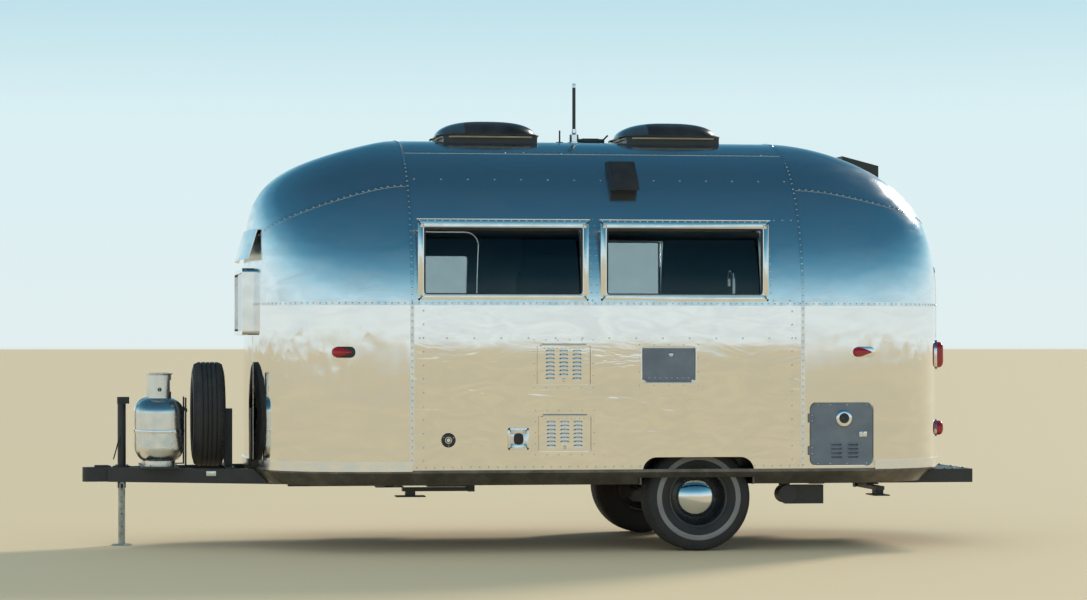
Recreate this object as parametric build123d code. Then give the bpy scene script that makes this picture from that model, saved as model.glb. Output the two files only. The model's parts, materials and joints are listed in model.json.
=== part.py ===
"""A riveted aluminium travel caravan with round ends, one axle and an A-frame tongue.

Millimetres. +X points to the rear, -Y to the street side, +Y to the kerb side and +Z up.
The origin is on the ground, below the middle of the whole caravan.
"""

import math
import os
from collections import namedtuple

from build123d import *

# Body: plan, section and seams
HALF_WIDTH = 1070
WALL = 40
TRIM_Z = 560
BELT_Z = 1670
ROOF_Z = 2825
ROOF_SEAM_Z = 2712
Cap = namedtuple("Cap", "seam_x way length side_handle end_handle crown")
FRONT = Cap(-910, -1, 1047, 0.75, 0.78, ((1, 0), (1, 0.84), (1, 0.78), (0.11, 1), (0, 1)))
REAR = Cap(1750, 1, 1170, 0.75, 0.78, ((1, 0), (1, 0.48), (0.98, 0.78), (0.26, 1), (0, 1)))
SIDE_CROWN = ((1, 0), (0.963, 0.649), (0.662, 0.932), (0.28, 1), (0, 1))

# Rub trim round the ends
TRIM_PROUD = 12
TRIM_DROP = 8
TRIM_RISE = 54
TRIM_GAP = 10

# Floor and belly
FLOOR_THICKNESS = 40
BELLY_Z = 455
BELLY_SHEET = 6
BELLY_CORNER = 85
BELLY_INSET = 2

# Chassis
RAIL_INSET = 470
RAIL_Y = HALF_WIDTH - RAIL_INSET
RAIL_WIDTH = 60
RAIL_BOTTOM_Z = 436
RAIL_FRONT_X = -1700
RAIL_REAR_X = 2700
TONGUE_TOP_Z = 545
TONGUE_DEPTH = 100
TONGUE_APEX_X = -2900
TONGUE_FOOT_X = -1420
TONGUE_APEX_Y = 45
TONGUE_RAIL_WIDTH = 50
CROSS_MEMBER_WIDTH = 50
CROSS_MEMBER_X = (-1340, -300, 2000)
CROSS_MEMBER_Z = 470
BUMPER_REAR_X = 3094
BUMPER_HALF_WIDTH = RAIL_Y + 20
BUMPER_TOP_Z = 530
BUMPER_HEIGHT = 94

# Coupler and jack
BALL_RADIUS = 25.4
BALL_X = -3040
COUPLER_HALF_WIDTH = 42
COUPLER_OVERLAP = 50
JACK_X = -2810
JACK_SLEEVE_RADIUS = 29
JACK_SLEEVE_WALL = 4
JACK_CLEARANCE = 0.5
JACK_SLEEVE_BOTTOM_Z = 400
JACK_HEAD_Z = 985
JACK_TOP_Z = 1032
JACK_HEAD_REACH = (32, 52)
JACK_HEAD_CORNER = 10
JACK_CRANK_RADIUS = 11
JACK_CRANK_LENGTH = 30
JACK_PLATE_RADIUS = 62
JACK_PLATE_SHEET = 8
JACK_LEG_TOP_Z = 600
JACK_FOOT_RADIUS = 70
JACK_FOOT_THICKNESS = 8

# Safety chain
CHAIN_X = JACK_X
CHAIN_CLEARANCE = 6
CHAIN_LINKS = 9
CHAIN_WIRE = 9
CHAIN_LINK_LENGTH = 62
CHAIN_LINK_WIDTH = 36
CHAIN_Y = -(JACK_FOOT_RADIUS + CHAIN_LINK_WIDTH / 2 + CHAIN_CLEARANCE)
CHAIN_SLACK = 1
CHAIN_CORNER = 11

# Gas bottles
BOTTLE_X = -2555
BOTTLE_RADIUS = 168
BOTTLE_FOOT_Z = 557
BOTTLE_HEIGHT = 470
BOTTLE_FOOT_RADIUS = 110
BOTTLE_FOOT_HEIGHT = 30
BOTTLE_SHOULDER = 100
BOTTLE_WELD = 5
BOTTLE_WELD_HEIGHT = 22
BOTTLE_WELD_Z = 800
COLLAR_RADIUS = 82
COLLAR_HEIGHT = 170
COLLAR_SHEET = 4
COLLAR_LIP = 12
COLLAR_HOLE_SHARE = 0.35
COLLAR_HOLE_RADIUS = 14
COLLAR_WINDOW = 80
VALVE_RADIUS = 15
VALVE_HEIGHT = 130
VALVE_WHEEL_RADIUS = 30
VALVE_WHEEL_HEIGHT = 22
TRAY_HALF_WIDTH = 345
TRAY_HALF_LENGTH = 130
HOLD_DOWN_Z = 1120
HOLD_DOWN_RADIUS = 9
HOLD_DOWN_GAP = 1
BOTTLE_Y = BOTTLE_RADIUS + BOTTLE_WELD + HOLD_DOWN_RADIUS + HOLD_DOWN_GAP

# Wheels and axle
AXLE_X = 1055
TYRE_RADIUS = 362
TYRE_WIDTH = 222
# rise from the bead to the tread and reach to the side, as shares
TYRE_SECTION = ((0, 1), (0.8, 1), (0.94, 0.9), (1, 0.76))
TYRE_INSET = 204
WHEEL_Y = HALF_WIDTH - TYRE_INSET
RIM_RADIUS = 196
RIM_WIDTH = 170
RIM_SHEET = 8
DISC_OFFSET = 22
DISC_DISH = 14
DISC_FLAT = 6
HUBCAP_RADIUS = 134
HUBCAP_RISE = 52
HUBCAP_EDGE = 8
HUB_RADIUS = 60
HUB_LENGTH = 80
AXLE_TUBE_RADIUS = 34
AXLE_MOUNT_HALF = 90
SPINDLE_RADIUS = 28
SPINDLE_CLEARANCE = 0.4
SPINDLE_COLLAR = 6

# Wheel arches and wells
ARCH_X = 1030
ARCH_HALF_LENGTH = 382
ARCH_TOP_Z = 640
ARCH_CORNER = 95
WELL_TOP_Z = 790
WELL_DEPTH = 365
WELL_INNER_Y = HALF_WIDTH - WELL_DEPTH
WELL_SHEET = 12

# Spare wheel, upright across the tongue
SPARE_GAP = 64
SPARE_LIFT = 5
SPARE_X = BOTTLE_X + BOTTLE_RADIUS + SPARE_GAP + TYRE_WIDTH / 2
SPARE_Z = TONGUE_TOP_Z + SPARE_LIFT + TYRE_RADIUS
CARRIER_SHEET = 10
CARRIER_GAP = 2
CARRIER_DEPTH = 55
CARRIER_HALF_WIDTH = 60
CARRIER_TOP_Z = 950
CARRIER_FOOT_HALF = 370

# Side windows
GLASS_LENGTH = 1065
GLASS_LOW_Z = 1729
GLASS_HIGH_Z = 2173
GLASS_CORNER = 18
GLASS_THICKNESS = 6
GLASS_DEPTH = 12
FRAME_INSIDE = 18
FRAME_FLANGE = 52
FRAME_PROUD = 9
STREET_WINDOW_X = (-298, 935)
KERB_WINDOW_X = (715,)

# End windows: the front one is flat and boxed out, the rear one follows the wall
END_GLASS_HALF_WIDTH = 415
END_GLASS_LOW_Z = 1490
END_GLASS_HIGH_Z = 1890
END_FRAME = 28
FRONT_FRAME_PROUD = 42

# Visor over the front window
VISOR_HINGE_Z = 2180
VISOR_LIP_Z = 1978
VISOR_SHEET = 5
VISOR_HALF_WIDTH = 500
VISOR_PROUD = 62
VISOR_RADIUS = 2400
VISOR_ROOT = 160

# Entry door on the kerb side
DOOR_X = (-800, -150)
DOOR_Z = (612, 2235)
DOOR_CORNER = 110
DOOR_GAP = 5
DOOR_KNUCKLE = 9
DOOR_KNUCKLE_Z = (760, 1180, 1600)
DOOR_KNUCKLE_LENGTH = 90
DOOR_STRAP = 70
DOOR_GLASS_X = (-712, -232)
DOOR_GLASS_Z = (1585, 2055)
DOOR_FRAME = 34
DOOR_HANDLE_Z = 1290
DOOR_HANDLE_INSET = 60
HANDLE_REACH = 48
HANDLE_LENGTH = 150
HANDLE_BAR = 8

# Small doors: their openings are pockets in the wall
POCKET_DEPTH = 30
LEAF_THICKNESS = 22
LEAF_GAP = 5
LEAF_KNUCKLE = 6
LEAF_STRAP = 30
STRAP_SHEET = 3
KNUCKLE_INSET = 30
RUN_GAP = 0.3
SmallDoor = namedtuple("SmallDoor", "node x0 x1 z0 z1 corner hinge_edge")
UPPER_LOUVRE_DOOR = SmallDoor("louvre_door_upper", -72, 291, 1127, 1390, 8, "top")
LOWER_LOUVRE_DOOR = SmallDoor("louvre_door_lower", -63, 296, 678, 919, 8, "top")
ACCESS_DOOR = SmallDoor("access_door", 642, 1010, 1154, 1377, 8, "bottom")
SMALL_DOORS = (UPPER_LOUVRE_DOOR, LOWER_LOUVRE_DOOR, ACCESS_DOOR)
HEATER_DOOR = SmallDoor("heater_door", 1796, 2252, 575, 1008, 50, "front")
HEATER_KNUCKLE_Z = (680, 900)
HEATER_FLUE_X = 2036
HEATER_FLUE_Z = 898
FLUE_RADIUS = 54
FLUE_BORE = 32

# Louvres: pressed hoods over slots, in columns that share a door
LOUVRE_HOOD = 14
LOUVRE_SUNK = 6
LOUVRE_ROOT = 2
LOUVRE_SLOT = 10
LOUVRE_SLOT_DEPTH = 12
LouvreColumn = namedtuple("LouvreColumn", "node x width top_z rows pitch")
LOUVRES = (
    LouvreColumn("louvre_door_upper", 18, 66, 1349, 8, 26.5),
    LouvreColumn("louvre_door_upper", 109, 66, 1349, 7, 26.5),
    LouvreColumn("louvre_door_upper", 200, 66, 1349, 8, 26.5),
    LouvreColumn("louvre_door_lower", 25, 66, 874, 7, 26.5),
    LouvreColumn("louvre_door_lower", 116, 66, 874, 6, 26.5),
    LouvreColumn("louvre_door_lower", 207, 66, 874, 7, 26.5),
    LouvreColumn("heater_door", 1984, 86, 724, 4, 28),
    LouvreColumn("heater_door", 2103, 86, 724, 4, 28),
)

# Fittings on the street side
INLET_X = -668
INLET_Z = 760
INLET_RADIUS = 45
INLET_EYE = 0.55
HATCH_X = (-266, -129)
HATCH_Z = (696, 838)
HATCH_CORNER = 12
HATCH_EYE = (34, 26)
FITTING_PROUD = 8

# Lamps: a teardrop marker near each corner, an oval and a round lamp on each side at the rear
Marker = namedtuple("Marker", "cap x")
MARKERS = (Marker(FRONT, -1360), Marker(REAR, 2185))
MARKER_LENGTH = 135
MARKER_RADIUS = 33
MARKER_TIP = 6
MARKER_FLATTEN = 0.8
MARKER_Z = 1345
TAIL_LAMP_Y = 560
TAIL_LAMP_Z = 1325
TAIL_LAMP_HALF = (50, 90)
TAIL_LAMP_PROUD = 45
TAIL_LAMP_EDGE = 22
REAR_LAMP_Z = 815
REAR_LAMP_RADIUS = 50

# Roof
VENT_X = (-258, 1040)
VENT_HALF_LENGTH = 355
VENT_HALF_WIDTH = 300
VENT_LID_Z = 2852
VENT_LID_HEIGHT = 116
VENT_PLAN_HANDLE = 0.78
VENT_CURVE = ((1, 0), (1, 0.7), (0.62, 1), (0, 1))
VENT_BASE_HALF = (330, 275)
VENT_HOLE_HALF = (180, 180)
VENT_LID_GAP = 0.4
VENT_BARREL = 8
VENT_BARREL_Y = 150
VENT_BARREL_LENGTH = 60
VENT_TAB = 40
ANTENNA_X = 386
ANTENNA_TOP_Z = 3248
ANTENNA_RADIUS = 12
ANTENNA_BASE_RADIUS = 34
ANTENNA_BASE_HEIGHT = 60
ANTENNA_ARM_X = (404, 604)
ANTENNA_ARM_RADIUS = 14
ANTENNA_ARM_LIFT = 4
ANTENNA_TIP = 40
STUB_X = 283
STUB_TOP_Z = 2915
STUB_RADIUS = 6
STUB_FLANGE = (26, 8)
HOOD_X = 568
HOOD_HALF_LENGTH = 90
HOOD_Z = (2440, 2645)
HOOD_PROUD = 70
REAR_HOOD_X = (2300, 2566)
REAR_HOOD_TOP_Z = (2740, 2672)
REAR_HOOD_HALF_WIDTH = 150
REAR_HOOD_DEPTH = 100

# Stabilisers: name, mount position of the hinge, unit reach in plan
LEG_PIVOT_Z = 410
LEG_LENGTH = 470
LEG_SECTION = (60, 26)
LEG_FOOT = (200, 110, 8)
LEG_FOOT_DROP = 30
LEG_STEM = 66
LEG_PIN = 8
BRACKET_SHEET = 8
BRACKET_GAP = 5
BRACKET_LENGTH = 300
BRACKET_BACK = 24
Stabiliser = namedtuple("Stabiliser", "node x y reach_x reach_y")
STABILISERS = (
    Stabiliser("stabiliser_leg_front_street", -450, -RAIL_Y, -1, 0),
    Stabiliser("stabiliser_leg_front_kerb", -450, RAIL_Y, -1, 0),
    Stabiliser("stabiliser_leg_rear_street", 2360, -370, 0, -1),
    Stabiliser("stabiliser_leg_rear_kerb", 2360, 370, 0, 1),
)

# Waste outlet below the street side
DRAIN_INSET = 170
DRAIN_X = 1692
DRAIN_Y = DRAIN_INSET - HALF_WIDTH
DRAIN_Z = 376
DRAIN_RADIUS = 62
DRAIN_LENGTH = 120
DRAIN_VALVE_X = (1772, 1959)
DRAIN_VALVE_Z = (308, 436)

# Entry step and its hangers
STEP_X = (-740, -210)
STEP_Y = (HALF_WIDTH - 270, HALF_WIDTH - 40)
STEP_Z = (392, 424)
STEP_BAR = 20
STEP_BAR_DEPTH = 12
STEP_BAR_Y = (HALF_WIDTH - 390, HALF_WIDTH - 40)
STEP_HANGER_Y = (HALF_WIDTH - 390, HALF_WIDTH - 105)
STEP_SIDE_GAP = 2
STEP_SHEET = 8

# Galley
GALLEY_X = (450, 1650)
GALLEY_Y = (WALL + 4 - HALF_WIDTH, 510 - HALF_WIDTH)
GALLEY_Z = (600, 1500)
TAP_INSET = 110
TAP_X = 1300
TAP_Y = TAP_INSET - HALF_WIDTH
TAP_TOP_Z = 1895
TAP_RADIUS = 11
TAP_BEND = 62
TAP_DROP = 40

FLOOR_Z = TRIM_Z + FLOOR_THICKNESS
AXLE_Z = TYRE_RADIUS
EVERYTHING = 20000
WORLD = (-EVERYTHING, EVERYTHING)
STREET = (-EVERYTHING, 0)
KERB = (0, EVERYTHING)


def block(x, y, z):
    """A box between the low and high values of each pair."""
    size = Box(x[1] - x[0], y[1] - y[0], z[1] - z[0])
    return Pos((x[0] + x[1]) / 2, (y[0] + y[1]) / 2, (z[0] + z[1]) / 2) * size


def rod(start, end, radius):
    """A round bar from start to end."""
    start = Vector(start)
    way = Vector(end) - start
    plane = Plane(origin=start, z_dir=way.normalized())
    return extrude(plane * Circle(radius), way.length)


def side_slab(x, z, y, corner):
    """A plate with rounded corners, seen from the side and reaching from y[0] to y[1]."""
    outline = RectangleRounded(x[1] - x[0], z[1] - z[0], corner)
    place = Plane(origin=((x[0] + x[1]) / 2, y[0], (z[0] + z[1]) / 2), x_dir=(1, 0, 0), z_dir=(0, 1, 0))
    return extrude(place * outline, y[1] - y[0])


def end_slab(y, z, x, corner):
    """A plate with rounded corners, seen from the end and reaching from x[0] to x[1]."""
    outline = RectangleRounded(y[1] - y[0], z[1] - z[0], corner)
    place = Plane(origin=(x[0], (y[0] + y[1]) / 2, (z[0] + z[1]) / 2), x_dir=(0, 1, 0), z_dir=(1, 0, 0))
    return extrude(place * outline, x[1] - x[0])


def grown(pair, by):
    """A pair of limits moved apart by the same length."""
    return (pair[0] - by, pair[1] + by)


# Body shapes. Each takes the length by which it stands outside the skin, negative inside.
def cap_plan(cap, grow):
    """Control points of half a cap's plan, from the seam to the end."""
    end_x = cap.seam_x + cap.way * (cap.length + grow)
    half = HALF_WIDTH + grow
    side_x = cap.seam_x + (end_x - cap.seam_x) * cap.side_handle
    return ((cap.seam_x, half), (side_x, half), (end_x, half * cap.end_handle), (end_x, 0))


def cap_face(cap, grow, z):
    """The flat plan of a cap at one height."""
    plan = cap_plan(cap, grow)
    half = HALF_WIDTH + grow
    edges = [Edge.make_bezier(*[(x, -y, z) for x, y in plan]),
             Edge.make_bezier(*[(x, y, z) for x, y in reversed(plan)]),
             Edge.make_line((cap.seam_x, half, z), (cap.seam_x, -half, z))]
    return Face(Wire(edges))


def cap_wall(cap, grow, low_z=TRIM_Z, high_z=BELT_Z):
    """A cap's upright wall, solid through."""
    return extrude(cap_face(cap, grow, low_z), high_z - low_z, dir=(0, 0, 1))


def crown_points(grow, crown):
    """Control points of a crown curve as (share of reach, z)."""
    rise = ROOF_Z + grow - BELT_Z
    return [(share, BELT_Z + height * rise) for share, height in crown]


def section_edges(x, grow):
    """The body's section above the belt, without its base line."""
    half = HALF_WIDTH + grow
    curve = [(half * share, z) for share, z in crown_points(grow, SIDE_CROWN)]
    return [Edge.make_bezier(*[(x, -y, z) for y, z in curve]),
            Edge.make_bezier(*[(x, y, z) for y, z in reversed(curve)])]


def section_face(x, grow):
    """The body's section above the belt."""
    half = HALF_WIDTH + grow
    base = Edge.make_line((x, half, BELT_Z), (x, -half, BELT_Z))
    return Face(Wire(section_edges(x, grow) + [base]))


def cap_dome(cap, grow):
    """A cap above the belt, solid through: two patches that meet at the middle."""
    plan = cap_plan(cap, grow)
    side = crown_points(grow, SIDE_CROWN)
    end = crown_points(grow, cap.crown)
    faces = [section_face(cap.seam_x, grow), cap_face(cap, grow, BELT_Z)]
    for hand in (-1, 1):
        rows = []
        for (x, y), curve in zip(plan, (side, side, end, end)):
            rows.append([Vector(cap.seam_x + (x - cap.seam_x) * share, hand * y * share, z) for share, z in curve])
        faces.append(Face.make_bezier_surface(rows))
    return Solid(Shell(faces))


def barrel_crown(x, grow):
    """The middle of the body above the belt, solid through."""
    return extrude(section_face(x[0], grow), x[1] - x[0], dir=(1, 0, 0))


def barrel_wall(x, grow, low_z, high_z):
    """The middle of the body below the belt, solid through."""
    return block(x, (-HALF_WIDTH - grow, HALF_WIDTH + grow), (low_z, high_z))


MIDDLE = (FRONT.seam_x, REAR.seam_x)


def barrel(grow):
    """The whole middle of the body, solid through."""
    return barrel_wall(MIDDLE, grow, TRIM_Z, BELT_Z) + barrel_crown(MIDDLE, grow)


def side_band(prism, inside, outside):
    """The part of a prism between two depths of the body's middle."""
    return (prism & barrel(outside)) - barrel(inside)


def rear_band(prism, inside, outside):
    """The part of a prism between two depths of the rear cap's wall."""
    return (prism & cap_wall(REAR, outside)) - cap_wall(REAR, inside)


def rear_dome_band(prism, inside, outside):
    """The part of a prism between two depths of the rear cap above the belt."""
    return (prism & cap_dome(REAR, outside)) - cap_dome(REAR, inside)


def cap_wall_y(cap, x):
    """Half the width of a cap's wall at one distance along the body."""
    low, high = 0.0, 1.0
    for _ in range(40):
        t = (low + high) / 2
        side, end = 3 * t * (1 - t) ** 2, 3 * t * t * (1 - t)
        along = cap.length * (side * cap.side_handle + end + t ** 3)
        low, high = (t, high) if along < abs(x - cap.seam_x) else (low, t)
    return HALF_WIDTH * ((1 - t) ** 3 + side + end * cap.end_handle)


def cap_wall_x(cap, y):
    """Where a cap's wall stands at a distance from the middle line."""
    low, high = 0.0, float(cap.length)
    for _ in range(40):
        middle = (low + high) / 2
        low, high = (middle, high) if cap_wall_y(cap, cap.seam_x + cap.way * middle) > abs(y) else (low, middle)
    return cap.seam_x + cap.way * low


# Openings
def side_window_hole(x, y):
    """The hole that a side window's frame fills."""
    return side_slab(grown((x - GLASS_LENGTH / 2, x + GLASS_LENGTH / 2), FRAME_INSIDE),
                     grown((GLASS_LOW_Z, GLASS_HIGH_Z), FRAME_INSIDE), y, GLASS_CORNER + FRAME_INSIDE)


def end_reach(cap, proud):
    """The outer half of a cap and what stands proud of it, as low and high X."""
    return tuple(sorted((cap.seam_x + cap.way * cap.length / 2, cap.seam_x + cap.way * (cap.length + proud))))


def end_window_hole(x):
    """The hole that an end window's frame fills."""
    half = END_GLASS_HALF_WIDTH + END_FRAME
    return end_slab((-half, half), grown((END_GLASS_LOW_Z, END_GLASS_HIGH_Z), END_FRAME), x, END_FRAME)


def arch_cut():
    """Both wheel arches, as one bar across the body."""
    x = (ARCH_X - ARCH_HALF_LENGTH, ARCH_X + ARCH_HALF_LENGTH)
    return side_slab(x, (TRIM_Z - 2 * ARCH_CORNER, ARCH_TOP_Z), WORLD, ARCH_CORNER)


def door_slab(by, y):
    """The entry door's outline, grown by a length."""
    return side_slab(grown(DOOR_X, by), grown(DOOR_Z, by), y, DOOR_CORNER + by)


def pocket(door, y):
    """A small door's opening in the wall."""
    return side_slab((door.x0, door.x1), (door.z0, door.z1), y, door.corner)


# Body panels
def make_body():
    """The skin and its lining as one wall, split where the panels meet."""
    panels = {}
    for name, cap in (("front", FRONT), ("rear", REAR)):
        hole = end_window_hole(end_reach(cap, WALL))
        panels[name + "_wall"] = cap_wall(cap, 0) - cap_wall(cap, -WALL) - hole
        panels[name + "_dome"] = cap_dome(cap, 0) - cap_dome(cap, -WALL) - hole
    panels["rear_wall"] -= rear_band(pocket(HEATER_DOOR, STREET), -POCKET_DEPTH, WALL)

    lower = barrel_wall(MIDDLE, 0, TRIM_Z, BELT_Z) - barrel_wall(MIDDLE, -WALL, TRIM_Z, BELT_Z)
    lower -= arch_cut()
    upper = barrel_crown(MIDDLE, 0) - barrel_crown(MIDDLE, -WALL)
    street = block(WORLD, STREET, (0, ROOF_SEAM_Z))
    kerb = block(WORLD, KERB, (0, ROOF_SEAM_Z))
    roof = upper - street - kerb
    for x in VENT_X:
        hole = Box(2 * VENT_HOLE_HALF[0], 2 * VENT_HOLE_HALF[1], 4 * WALL)
        roof -= Pos(x, 0, ROOF_Z) * hole
    panels["roof_panel"] = roof
    street_lower = lower & street
    for small in SMALL_DOORS:
        street_lower -= pocket(small, (-HALF_WIDTH - WALL, -HALF_WIDTH + POCKET_DEPTH))
    street_upper = upper & street
    for x in STREET_WINDOW_X:
        street_upper -= side_window_hole(x, STREET)
    kerb_lower = (lower & kerb) - door_slab(0, KERB)
    kerb_upper = (upper & kerb) - door_slab(0, KERB)
    for x in KERB_WINDOW_X:
        kerb_upper -= side_window_hole(x, KERB)
    panels["street_side_lower"] = street_lower
    panels["street_side_upper"] = street_upper
    panels["kerb_side_lower"] = kerb_lower
    panels["kerb_side_upper"] = kerb_upper
    return panels


def floor_plan(grow, low_z, high_z):
    """The body's whole plan as a plate."""
    plate = cap_wall(FRONT, grow, low_z, high_z)
    plate += barrel_wall(MIDDLE, grow, low_z, high_z)
    return plate + cap_wall(REAR, grow, low_z, high_z)


def well_box(grow):
    """The space of both wheel wells, grown outwards by a length."""
    x = grown((ARCH_X - ARCH_HALF_LENGTH, ARCH_X + ARCH_HALF_LENGTH), grow)
    bars = []
    for hand in (-1, 1):
        y = sorted((hand * (WELL_INNER_Y - grow), hand * (HALF_WIDTH - WALL)))
        bars.append(block(x, y, (0, WELL_TOP_Z + grow)))
    return bars


def make_floor(chassis):
    """The floor between the walls, the belly pan below it and the wheel wells."""
    floor = floor_plan(-WALL, TRIM_Z, FLOOR_Z)
    belly = None
    for inset, low_z in ((BELLY_INSET, BELLY_Z), (BELLY_INSET + BELLY_SHEET, BELLY_Z + BELLY_SHEET)):
        tray = floor_plan(-inset, low_z, TRIM_Z)
        low_edges = [edge for edge in tray.edges() if abs(edge.bounding_box().max.Z - low_z) < 1]
        tray = chamfer(low_edges, BELLY_CORNER)
        belly = tray if belly is None else belly - tray
    wells = []
    for outer, inner in zip(well_box(WELL_SHEET), well_box(0)):
        floor -= outer
        belly -= outer
        wells.append((outer & block(WORLD, WORLD, (BELLY_Z, WELL_TOP_Z + WELL_SHEET))) - inner)
    for name in ("main_rails", "tongue_rails", "cross_members", "rear_bumper"):
        for solid in chassis[name].solids():
            belly -= solid
    return {"floor": floor, "belly_pan": belly, "wheel_wells": Compound(wells)}


# Chassis
def both_sides(shape):
    """The shape and its mirror image across the middle line."""
    return [shape, mirror(shape, about=Plane.XZ)]


def tongue_rail():
    """One rail of the A-frame, from the apex to where it meets the main rail."""
    apex = Vector(TONGUE_APEX_X, TONGUE_APEX_Y)
    foot = Vector(TONGUE_FOOT_X, RAIL_Y)
    across = Vector(apex.Y - foot.Y, foot.X - apex.X).normalized() * (TONGUE_RAIL_WIDTH / 2)
    corners = [apex - across, foot - across, foot + across, apex + across]
    outline = make_face(Polyline(*[(corner.X, corner.Y) for corner in corners], close=True))
    bar = extrude(Plane.XY.offset(TONGUE_TOP_Z - TONGUE_DEPTH) * outline, TONGUE_DEPTH)
    return bar - block(WORLD, (RAIL_Y - RAIL_WIDTH / 2, EVERYTHING), WORLD)


def make_chassis():
    """Rails, cross members, A-frame tongue and bumper."""
    rail_y = (RAIL_Y - RAIL_WIDTH / 2, RAIL_Y + RAIL_WIDTH / 2)
    rail = block((RAIL_FRONT_X, RAIL_REAR_X), rail_y, (RAIL_BOTTOM_Z, TRIM_Z))
    crosses = []
    for x in CROSS_MEMBER_X:
        reach = grown((x, x), CROSS_MEMBER_WIDTH / 2)
        crosses.append(block(reach, (-rail_y[0], rail_y[0]), (CROSS_MEMBER_Z, TRIM_Z)))
    bumper = block((RAIL_REAR_X, BUMPER_REAR_X), grown((0, 0), BUMPER_HALF_WIDTH),
                   (BUMPER_TOP_Z - BUMPER_HEIGHT, BUMPER_TOP_Z))
    return {"main_rails": Compound(both_sides(rail)), "tongue_rails": Compound(both_sides(tongue_rail())),
            "cross_members": Compound(crosses), "rear_bumper": bumper}


def make_coupler():
    """The coupler: a box with a rounded nose and a ball socket open below."""
    z = (TONGUE_TOP_Z - TONGUE_DEPTH, TONGUE_TOP_Z)
    nose = Pos(BALL_X, 0, (z[0] + z[1]) / 2) * Cylinder(COUPLER_HALF_WIDTH, TONGUE_DEPTH)
    body = block((BALL_X, TONGUE_APEX_X + COUPLER_OVERLAP), grown((0, 0), COUPLER_HALF_WIDTH), z) + nose
    for solid in both_sides(tongue_rail()):
        body -= solid
    socket = Pos(BALL_X, 0, z[0] + BALL_RADIUS) * Sphere(BALL_RADIUS)
    mouth = Pos(BALL_X, 0, z[0] + BALL_RADIUS / 2) * Cylinder(BALL_RADIUS, BALL_RADIUS)
    return body - socket - mouth


def make_jack():
    """The tongue jack: a sleeve with its head through the A-frame, and the leg that slides in it."""
    inner = JACK_SLEEVE_RADIUS - JACK_SLEEVE_WALL
    sleeve = rod((JACK_X, 0, JACK_SLEEVE_BOTTOM_Z), (JACK_X, 0, JACK_HEAD_Z), JACK_SLEEVE_RADIUS)
    sleeve -= rod((JACK_X, 0, 0), (JACK_X, 0, JACK_HEAD_Z - JACK_SLEEVE_WALL), inner)
    head = block((JACK_X - JACK_HEAD_REACH[0], JACK_X + JACK_HEAD_REACH[1]), grown((0, 0), JACK_SLEEVE_RADIUS),
                 (JACK_HEAD_Z, JACK_TOP_Z))
    sleeve += fillet(head.edges().filter_by(Axis.Z), JACK_HEAD_CORNER)
    crank_z = (JACK_HEAD_Z + JACK_TOP_Z) / 2
    crank_y = -JACK_SLEEVE_RADIUS - JACK_CRANK_LENGTH
    sleeve += rod((JACK_X, -JACK_SLEEVE_RADIUS / 2, crank_z), (JACK_X, crank_y, crank_z), JACK_CRANK_RADIUS)
    flange = rod((JACK_X, 0, TONGUE_TOP_Z), (JACK_X, 0, TONGUE_TOP_Z + JACK_PLATE_SHEET), JACK_PLATE_RADIUS)
    sleeve += flange - rod((JACK_X, 0, 0), (JACK_X, 0, JACK_TOP_Z), inner)
    leg_radius = inner - JACK_CLEARANCE
    leg = rod((JACK_X, 0, 0), (JACK_X, 0, JACK_LEG_TOP_Z), leg_radius)
    leg += rod((JACK_X, 0, 0), (JACK_X, 0, JACK_FOOT_THICKNESS), JACK_FOOT_RADIUS)
    return {"jack_sleeve": sleeve, "jack_leg": leg}


def chain_link(length, width, wire):
    """One flat ring of a chain with cut corners, in the XZ plane and centred."""
    outer = chamfer(Rectangle(width, length).vertices(), CHAIN_CORNER)
    hole = chamfer(Rectangle(width - 2 * wire, length - 2 * wire).vertices(), CHAIN_CORNER - wire / 2)
    return Pos(0, wire / 2, 0) * extrude(Plane.XZ * (outer - hole), wire)


def make_chain():
    """The safety chain that hangs from the tongue, every other link turned."""
    pitch = CHAIN_LINK_LENGTH - 2 * CHAIN_WIRE - CHAIN_SLACK
    first_z = TONGUE_TOP_Z - TONGUE_DEPTH - RUN_GAP - CHAIN_LINK_LENGTH / 2
    links = []
    for number in range(CHAIN_LINKS):
        link = chain_link(CHAIN_LINK_LENGTH, CHAIN_LINK_WIDTH, CHAIN_WIRE)
        place = Pos(CHAIN_X, CHAIN_Y, first_z - number * pitch)
        links.append(place * Rot(0, 0, 90 * (number % 2)) * link)
    return Compound(links)


# Gas bottles and spare wheel on the tongue
def gas_bottle():
    """A gas bottle on the Z axis: foot ring, domed tank with its weld band, valve and handwheel."""
    low = BOTTLE_FOOT_Z + BOTTLE_FOOT_HEIGHT
    high = BOTTLE_FOOT_Z + BOTTLE_HEIGHT
    tank = Pos(0, 0, (low + high) / 2) * Cylinder(BOTTLE_RADIUS, high - low)
    tank = fillet(tank.edges().filter_by(GeomType.CIRCLE), BOTTLE_SHOULDER)
    tank += Pos(0, 0, low) * Cylinder(BOTTLE_FOOT_RADIUS, 2 * BOTTLE_FOOT_HEIGHT)
    tank += Pos(0, 0, BOTTLE_WELD_Z) * Cylinder(BOTTLE_RADIUS + BOTTLE_WELD, BOTTLE_WELD_HEIGHT)
    tank += rod((0, 0, high - VALVE_RADIUS), (0, 0, high + VALVE_HEIGHT), VALVE_RADIUS)
    wheel_z = high + VALVE_HEIGHT
    return tank + rod((0, 0, wheel_z), (0, 0, wheel_z + VALVE_WHEEL_HEIGHT), VALVE_WHEEL_RADIUS)


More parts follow.
